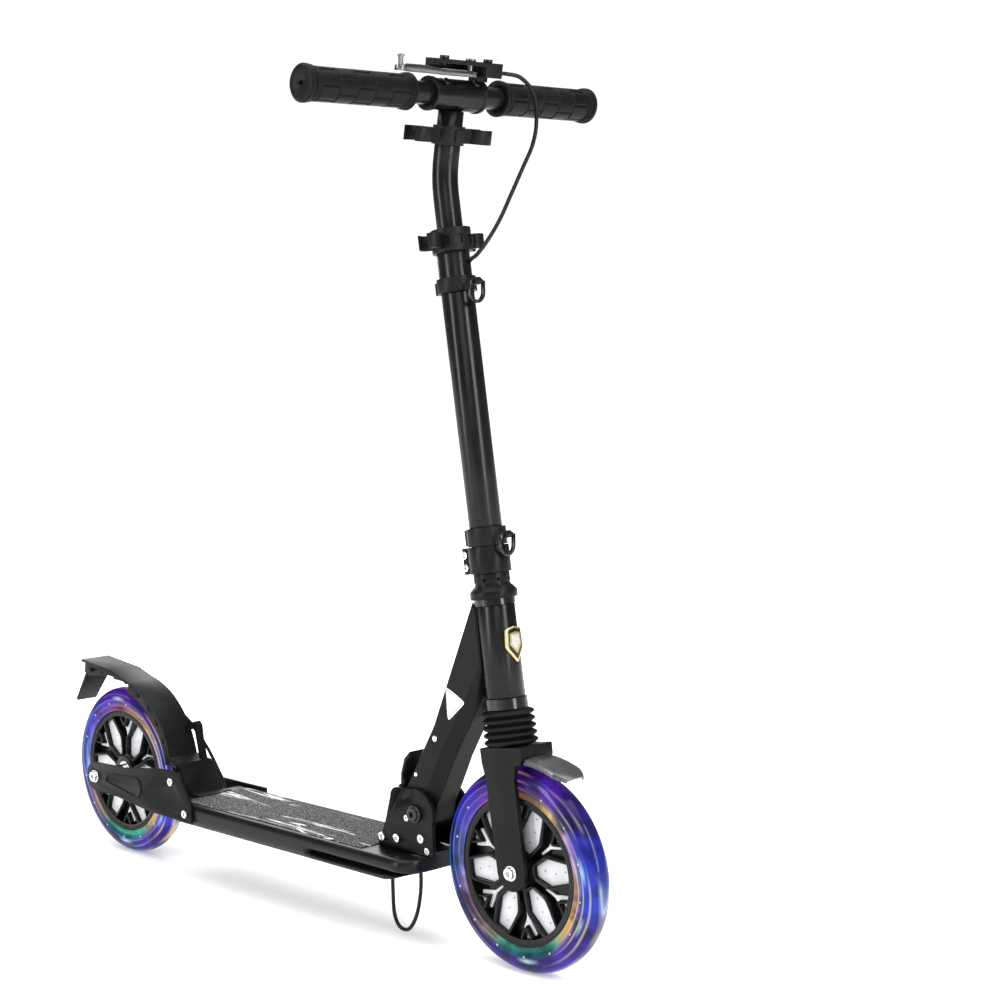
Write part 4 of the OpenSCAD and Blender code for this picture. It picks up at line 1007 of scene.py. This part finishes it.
def visor_grid():
    """Front fender: an arc round the axle, crowned across and turned down at its sides.

    The radius falls by 2 mm times the square of the share across, and by 4 mm more over the
    last tenth. The half width narrows towards the tip by a smooth step.
    """
    turn = np.radians(np.linspace(53.6, 80.5, 40))[:, None]
    across = np.linspace(-1, 1, 49)[None, :]
    tip = smoothstep((np.degrees(turn) - 53.1) / 8.0)
    half = 11.5 + 8.4 * tip**0.6
    drop = 1.6 * across**2 + 3.4 * smoothstep((np.abs(across) - 0.86) / 0.14)
    radius = 111.0 - drop
    return np.stack([14 + radius * np.cos(turn), half * across + 0 * turn,
                     radius * np.sin(turn)], axis=-1)


class SCOOTER_OT_front_end(bpy.types.Operator):
    """Fork, its bellows, the front fender and the front axle"""

    bl_idname = "scooter.front_end"
    bl_label = "Fork and bellows"

    def execute(self, context):
        sizes = context.scene.scooter_sizes
        refined("fork", black("satin_paint"), 0.0016, 4)
        grid = bellows_grid(sizes.bellows_ridges, sizes.bellows_depth / MM)
        sleeve = mesh_piece("fork_bellows_skin", put(grid, STEER), "column", wrap_rows=True,
                            wrap_cols=True)
        dress(sleeve, black("soft_rubber"), "fork_bellows")
        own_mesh(sleeve)
        visor = mesh_piece("front_fender_skin", put(visor_grid(), STEER), "suspension")
        wall = visor.modifiers.new("wall", "SOLIDIFY")
        wall.thickness = 0.002
        wall.offset = -1.0
        soften(visor, 0.0005)
        smoky = Finishes.get("visor_plastic", coated, (0.035, 0.035, 0.037), 0.24, 900.0, 0.06,
                             0.6, 0.5)
        dress(visor, smoky, "front_fender")
        refined("front_axle", steel(), 0.0004)
        spring = refined("fork_spring", steel(), width=0, body="column")
        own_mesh(spring)
        return {"FINISHED"}


# ---------- handlebar ----------
def riser_grid(radius, low, bend, rise, tilt):
    """Tube up the steering axis that curves into the handlebar's tilt over 48 mm."""
    blend_length = 24.0
    s = np.concatenate([[low], np.linspace(bend - blend_length, bend + blend_length, 33),
                        [bend + rise]])
    turn = tilt * smoothstep((s - bend + blend_length) / (2 * blend_length))
    step = np.diff(s, prepend=s[0])
    mid = (turn + np.concatenate([[0], turn[:-1]])) / 2
    x, z = np.cumsum(step * np.sin(mid)), low + np.cumsum(step * np.cos(mid))
    end = np.array([math.sin(tilt), math.cos(tilt)]) * rise + np.array([0, bend])
    x, z = x + (end[0] - x[-1]) * (s > bend), z + (end[1] - z[-1]) * (s > bend)
    a = np.linspace(0, 2 * np.pi, 72, endpoint=False)
    ring_x = x[:, None] + radius * np.cos(a) * np.cos(turn)[:, None]
    ring_z = z[:, None] - radius * np.cos(a) * np.sin(turn)[:, None]
    ring_y = np.broadcast_to(radius * np.sin(a), ring_x.shape)
    return np.stack([ring_x, ring_y, ring_z], axis=-1)


def grip_grid(side, end, length, core, tile, rows, around):
    """Grip turned about the handlebar: a profile of rings, core and end cap with a hole, and
    tiles whose height is a smooth step of the distance to the nearest tile edge. Every other
    row of tiles is turned by half a tile.
    """
    t = np.linspace(0, length - 1.2, 256)
    ring = np.zeros_like(t)
    for low, high, lift in ((0, 2.8, 3.1), (4.4, 6.6, 2.5), (121.2, 123.4, 2.5),
                            (124.8, 128.8, 3.1)):
        edge = smoothstep((t - low + 0.35) / 0.7) * smoothstep((high + 0.35 - t) / 0.7)
        ring = np.maximum(ring, lift * edge)
    outer = np.stack([core + ring, t], axis=1)
    cap = np.array([[core + 1.6, length - 0.3], [core - 0.4, length], [2.4, length],
                    [2.2, length - 0.4], [2.2, length - 7], [11.02, length - 7], [11.02, 0]])
    profile = np.vstack([outer, cap])
    steps = 168
    turn = np.linspace(0, around, steps, endpoint=False)[None, :]
    pitch = (length - 22.0) / rows
    u = (t[:, None] - 9.0) / pitch
    row = np.floor(u)
    v = turn + 0.5 * (row % 2)
    near_u = np.minimum(u - row, 1 - u + row) * pitch
    near_v = np.minimum(v % 1, 1 - v % 1) * 2 * np.pi * core / around
    inside = (u > 0) & (u < rows)
    height = tile * smoothstep((np.minimum(near_u, near_v) - 0.5) / 0.8) * inside
    swell = np.zeros((len(profile), steps))
    swell[: len(t)] = height
    grid = revolve(profile, steps, swell)
    grid[..., 1] = side * (end - length + grid[..., 1])
    return grid


RISER_RADIUS, RISER_LOW, RISER_BEND, RISER_RISE = 12.7, 470.0, 671.5, 64.0
GRIP_END, GRIP_LENGTH, GRIP_CORE = 190.0, 130.0, 14.6


class SCOOTER_OT_handlebar(bpy.types.Operator):
    """Riser, crossbar sleeve, screws, clip band, pull-out bars and tiled grips"""

    bl_idname = "scooter.handlebar"
    bl_label = "Handlebar"

    def execute(self, context):
        sizes = context.scene.scooter_sizes
        tilt = math.atan2(BAR_UP[0], BAR_UP[2]) - TILT
        grid = riser_grid(RISER_RADIUS, RISER_LOW, RISER_BEND, RISER_RISE, tilt)
        tube = mesh_piece("bar_riser_skin", put(grid, STEER), "handlebar", wrap_cols=True,
                          caps=True)
        dress(tube, black("tube_paint"), "bar_riser")
        refined("bar_sleeve", black("tube_paint"), 0.0012, 3)
        refined("bar_screws", black("black_metal"), 0.0004)
        refined("clip_band", black("moulded_plastic"), 0.0008, 3)
        repaint(black("tube_paint"), "right_bar", "left_bar")
        for side, word in ((-1, "right"), (1, "left")):
            grid = grip_grid(side, GRIP_END, GRIP_LENGTH, GRIP_CORE, sizes.grip_tile / MM,
                             sizes.grip_rows, 6)
            grip = mesh_piece(f"{word}_grip_skin", put(grid, BAR), f"{word}_handle",
                              wrap_rows=True, wrap_cols=True)
            dress(grip, black("soft_rubber"), f"{word}_grip")
        return {"FINISHED"}


def lever_grid():
    """Blade of the lever, lofted from its pivot to its tip.

    A section is a superellipse of power 3 across the lever: half width w in X, half height h
    in Z. Both and the middle line are smooth curves through the rows below.
    """
    rows = [[14.5, 4.0, 20.9, 8.0, 2.0], [14.2, 0.0, 20.9, 8.6, 2.8], [14.0, -14.0, 20.9, 8.6, 2.9],
            [15.4, -32.0, 20.9, 7.8, 2.9], [18.2, -50.0, 21.5, 6.8, 3.3],
            [23.0, -67.0, 22.0, 6.0, 3.8], [28.4, -83.0, 22.0, 5.4, 3.8],
            [32.0, -94.0, 22.0, 5.1, 3.6], [34.6, -101.0, 22.0, 4.4, 3.2]]
    line = flowing(rows, 8)
    a = np.linspace(0, 2 * np.pi, 40, endpoint=False)[None, :]
    across = np.sign(np.cos(a)) * np.abs(np.cos(a)) ** (2 / 3)
    rise = np.sign(np.sin(a)) * np.abs(np.sin(a)) ** (2 / 3)
    x, y, z, w, h = (line[:, k:k + 1] for k in range(5))
    return np.stack([x + w * across, y + 0 * a, z + h * rise], axis=-1)


class SCOOTER_OT_hand_brake(bpy.types.Operator):
    """Brake perch, lever with its turned-up end, and the cable's adjuster"""

    bl_idname = "scooter.hand_brake"
    bl_label = "Hand brake"

    def execute(self, context):
        refined("brake_perch", black("moulded_plastic"), 0.0016, 4)
        refined("brake_lever", grey_metal(), 0.0012, 3)
        refined("barrel_adjuster", grey_metal(), 0.0005)
        blade = mesh_piece("lever_blade", put(lever_grid(), BAR), "lever", wrap_cols=True,
                           caps=True)
        dress(blade, grey_metal())
        path = flowing([[33, -98, 21], [36, -103, 22], [38.5, -106.5, 25.5], [39, -107.5, 30],
                        [38.5, -107, 33.5]], 8)
        share = np.linspace(0, 1, len(path))
        thick = 2.6 - 0.5 * share + 1.1 * smoothstep((share - 0.72) / 0.2)
        thick = thick * np.sqrt(np.clip((1.0 - share) / 0.06, 0.02, 1))
        tip = mesh_piece("lever_tip", put(along_path(path, thick, 24), BAR), "lever",
                         wrap_cols=True, caps=True)
        dress(tip, grey_metal())
        return {"FINISHED"}


# ---------- cables ----------
CABLE_FRONT = [[536, -29, 96], [537, -29, 80], [536, -29, 60], [530, -29, 36], [520, -29, 20],
               [510, -29, 16], [501, -29, 20], [496, -29, 32], [495, -29, 50], [495, -29, 72]]
CABLE_REAR = [[166, 34, 75.5], [156, 35, 75.5], [146, 38, 76.5], [133, 42, 84], [117, 44, 102],
              [98, 44, 126], [80, 41.5, 147], [64, 38, 163], [50, 35.5, 171], [38, 35, 173.5]]
CABLE_UPPER = [[591.8, 50.2, 864.2], [593.2, 57, 864.3], [600, 70, 860.5], [606, 81, 845],
               [607, 83, 818], [606, 78, 796], [604, 66, 774], [603, 50, 748], [603, 34, 724],
               [602, 18, 704], [597.5, 7.5, 690.2], [592.5, 5, 686.3], [588.8, 5, 683.4]]


class SCOOTER_OT_cables(bpy.types.Operator):
    """Brake cable: the loop under the fold, the run to the caliper and the run to the lever"""

    bl_idname = "scooter.cables"
    bl_label = "Brake cable"

    def execute(self, context):
        radius = context.scene.scooter_sizes.cable_radius / MM

        def jacket(name, path, body, *nodes):
            piece = mesh_piece(name, put(along_path(path, radius, 16), SIDE), body,
                               wrap_cols=True, caps=True)
            return dress(piece, black("cable_jacket"), *nodes)

        jacket("brake_cable_loop", flowing(CABLE_FRONT, 8), "deck", "brake_cable_lower")
        rear = jacket("brake_cable_rear", flowing(CABLE_REAR, 8), "deck")
        path = flowing(CABLE_UPPER, 10)
        upper = jacket("brake_cable_bar", path, None, "brake_cable_upper")
        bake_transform(upper)
        return {"FINISHED"}


# ---------- stage ----------
# lamp: (place and size in metres, watts)
LAMPS = {
    "top": ((0.2, -0.2, 3.4), (4.0, 4.0), 190.0),
    "key_right": ((2.9, -0.1, 1.3), (0.55, 2.4), 74.0),
    "key_left": ((-0.9, -2.9, 1.3), (0.55, 2.4), 74.0),
    "fill": ((2.2, -2.4, 1.9), (1.6, 1.6), 22.0),
    "back": ((-2.4, 1.6, 1.8), (1.6, 2.0), 40.0),
}
CAMERA_PLACE = (1.618, -1.3477, 0.6138)
CAMERA_TURN = (139.41, -5.066, -1.563)  # heading, pitch and roll in degrees
CAMERA_LENS = 70.9
CAMERA_SHIFT = (0.174, 0.0128)


class SCOOTER_OT_stage(bpy.types.Operator):
    """Pale floor, soft studio lights and the camera"""

    bl_idname = "scooter.stage"
    bl_label = "Stage"

    def execute(self, context):
        scene = context.scene
        turn = np.linspace(0, 2 * np.pi, 96, endpoint=False)
        radii = np.array([0.0, 1.0, 2.0, 8.0, 30.0])[:, None]
        grid = np.stack([radii * np.cos(turn), radii * np.sin(turn),
                         -0.0004 + 0 * radii * turn], axis=-1)
        floor = mesh_piece("floor", grid, None, wrap_cols=True, caps=False)
        floor.data.materials.append(studio_floor("floor"))
        self.surroundings(scene)
        for name, values in LAMPS.items():
            self.lamp(name, *values)
        self.camera(scene)
        scene.view_settings.view_transform = "Standard"
        return {"FINISHED"}

    def surroundings(self, scene):
        """White background for the view, and a dim room for light and reflections."""
        scene.world = bpy.data.worlds.new("studio")
        scene.world.use_nodes = True
        tree = scene.world.node_tree
        background = tree.nodes["Background"]
        seen = add_node(tree, "ShaderNodeLightPath").outputs["Is Camera Ray"]
        strength = add_node(tree, "ShaderNodeMapRange", in_0=seen, in_3=0.22, in_4=1.05)
        background.inputs["Color"].default_value = (1, 1, 1, 1)
        tree.links.new(strength.outputs[0], background.inputs["Strength"])

    def lamp(self, name, place, size, power):
        """Soft rectangular lamp that faces the middle of the scooter."""
        data = bpy.data.lights.new(name, "AREA")
        data.shape = "RECTANGLE"
        data.size, data.size_y = size
        data.energy = power
        lamp = bpy.data.objects.new(name, data)
        lamp.location = place
        ahead = Vector((0, 0, 0.4)) - Vector(place)
        lamp.rotation_euler = ahead.to_track_quat("-Z", "Y").to_euler()
        bpy.context.scene.collection.objects.link(lamp)

    def camera(self, scene):
        """Camera at the right front, a little above the middle, looking slightly down."""
        data = bpy.data.cameras.new("camera")
        data.lens = CAMERA_LENS
        data.sensor_width = 36.0
        data.shift_x, data.shift_y = CAMERA_SHIFT
        data.clip_end = 100
        camera = bpy.data.objects.new("camera", data)
        heading, pitch, roll = map(math.radians, CAMERA_TURN)
        ahead = Vector((math.cos(heading) * math.cos(pitch),
                        math.sin(heading) * math.cos(pitch), math.sin(pitch)))
        right = ahead.cross(Vector((0, 0, 1))).normalized()
        up = right.cross(ahead)
        x = right * math.cos(roll) + up * math.sin(roll)
        y = up * math.cos(roll) - right * math.sin(roll)
        turn = Matrix((x, y, -ahead)).transposed().to_4x4()
        camera.matrix_world = Matrix.Translation(CAMERA_PLACE) @ turn
        scene.collection.objects.link(camera)
        scene.camera = camera


class SCOOTER_PT_panel(bpy.types.Panel):
    """Lists the scooter's sizes, colours and pieces"""

    bl_idname = "SCOOTER_PT_panel"
    bl_label = "Kick scooter"
    bl_space_type = "VIEW_3D"
    bl_region_type = "UI"
    bl_category = "Scooter"

    def draw(self, context):
        for group in (context.scene.scooter_sizes, context.scene.scooter_colours):
            for name in group.__annotations__:
                self.layout.prop(group, name)
        for operator in OPERATORS:
            self.layout.operator(operator.bl_idname)


OPERATORS = (
    SCOOTER_OT_stage, SCOOTER_OT_cables, SCOOTER_OT_tyres, SCOOTER_OT_wheel_discs,
    SCOOTER_OT_deck, SCOOTER_OT_rear_frame, SCOOTER_OT_rear_fender, SCOOTER_OT_fold,
    SCOOTER_OT_neck, SCOOTER_OT_column, SCOOTER_OT_front_end, SCOOTER_OT_handlebar,
    SCOOTER_OT_hand_brake,
)
CLASSES = (ScooterSizes, ScooterColours, *OPERATORS, SCOOTER_PT_panel)


def register():
    for cls in CLASSES:
        bpy.utils.register_class(cls)
    bpy.types.Scene.scooter_sizes = bpy.props.PointerProperty(type=ScooterSizes)
    bpy.types.Scene.scooter_colours = bpy.props.PointerProperty(type=ScooterColours)


def unregister():
    del bpy.types.Scene.scooter_colours
    del bpy.types.Scene.scooter_sizes
    for cls in reversed(CLASSES):
        bpy.utils.unregister_class(cls)


def main():
    """Makes the stage and every piece."""
    register()
    for operator in OPERATORS:
        group, name = operator.bl_idname.split(".")
        getattr(getattr(bpy.ops, group), name)()


if __name__ == "__main__":
    main()
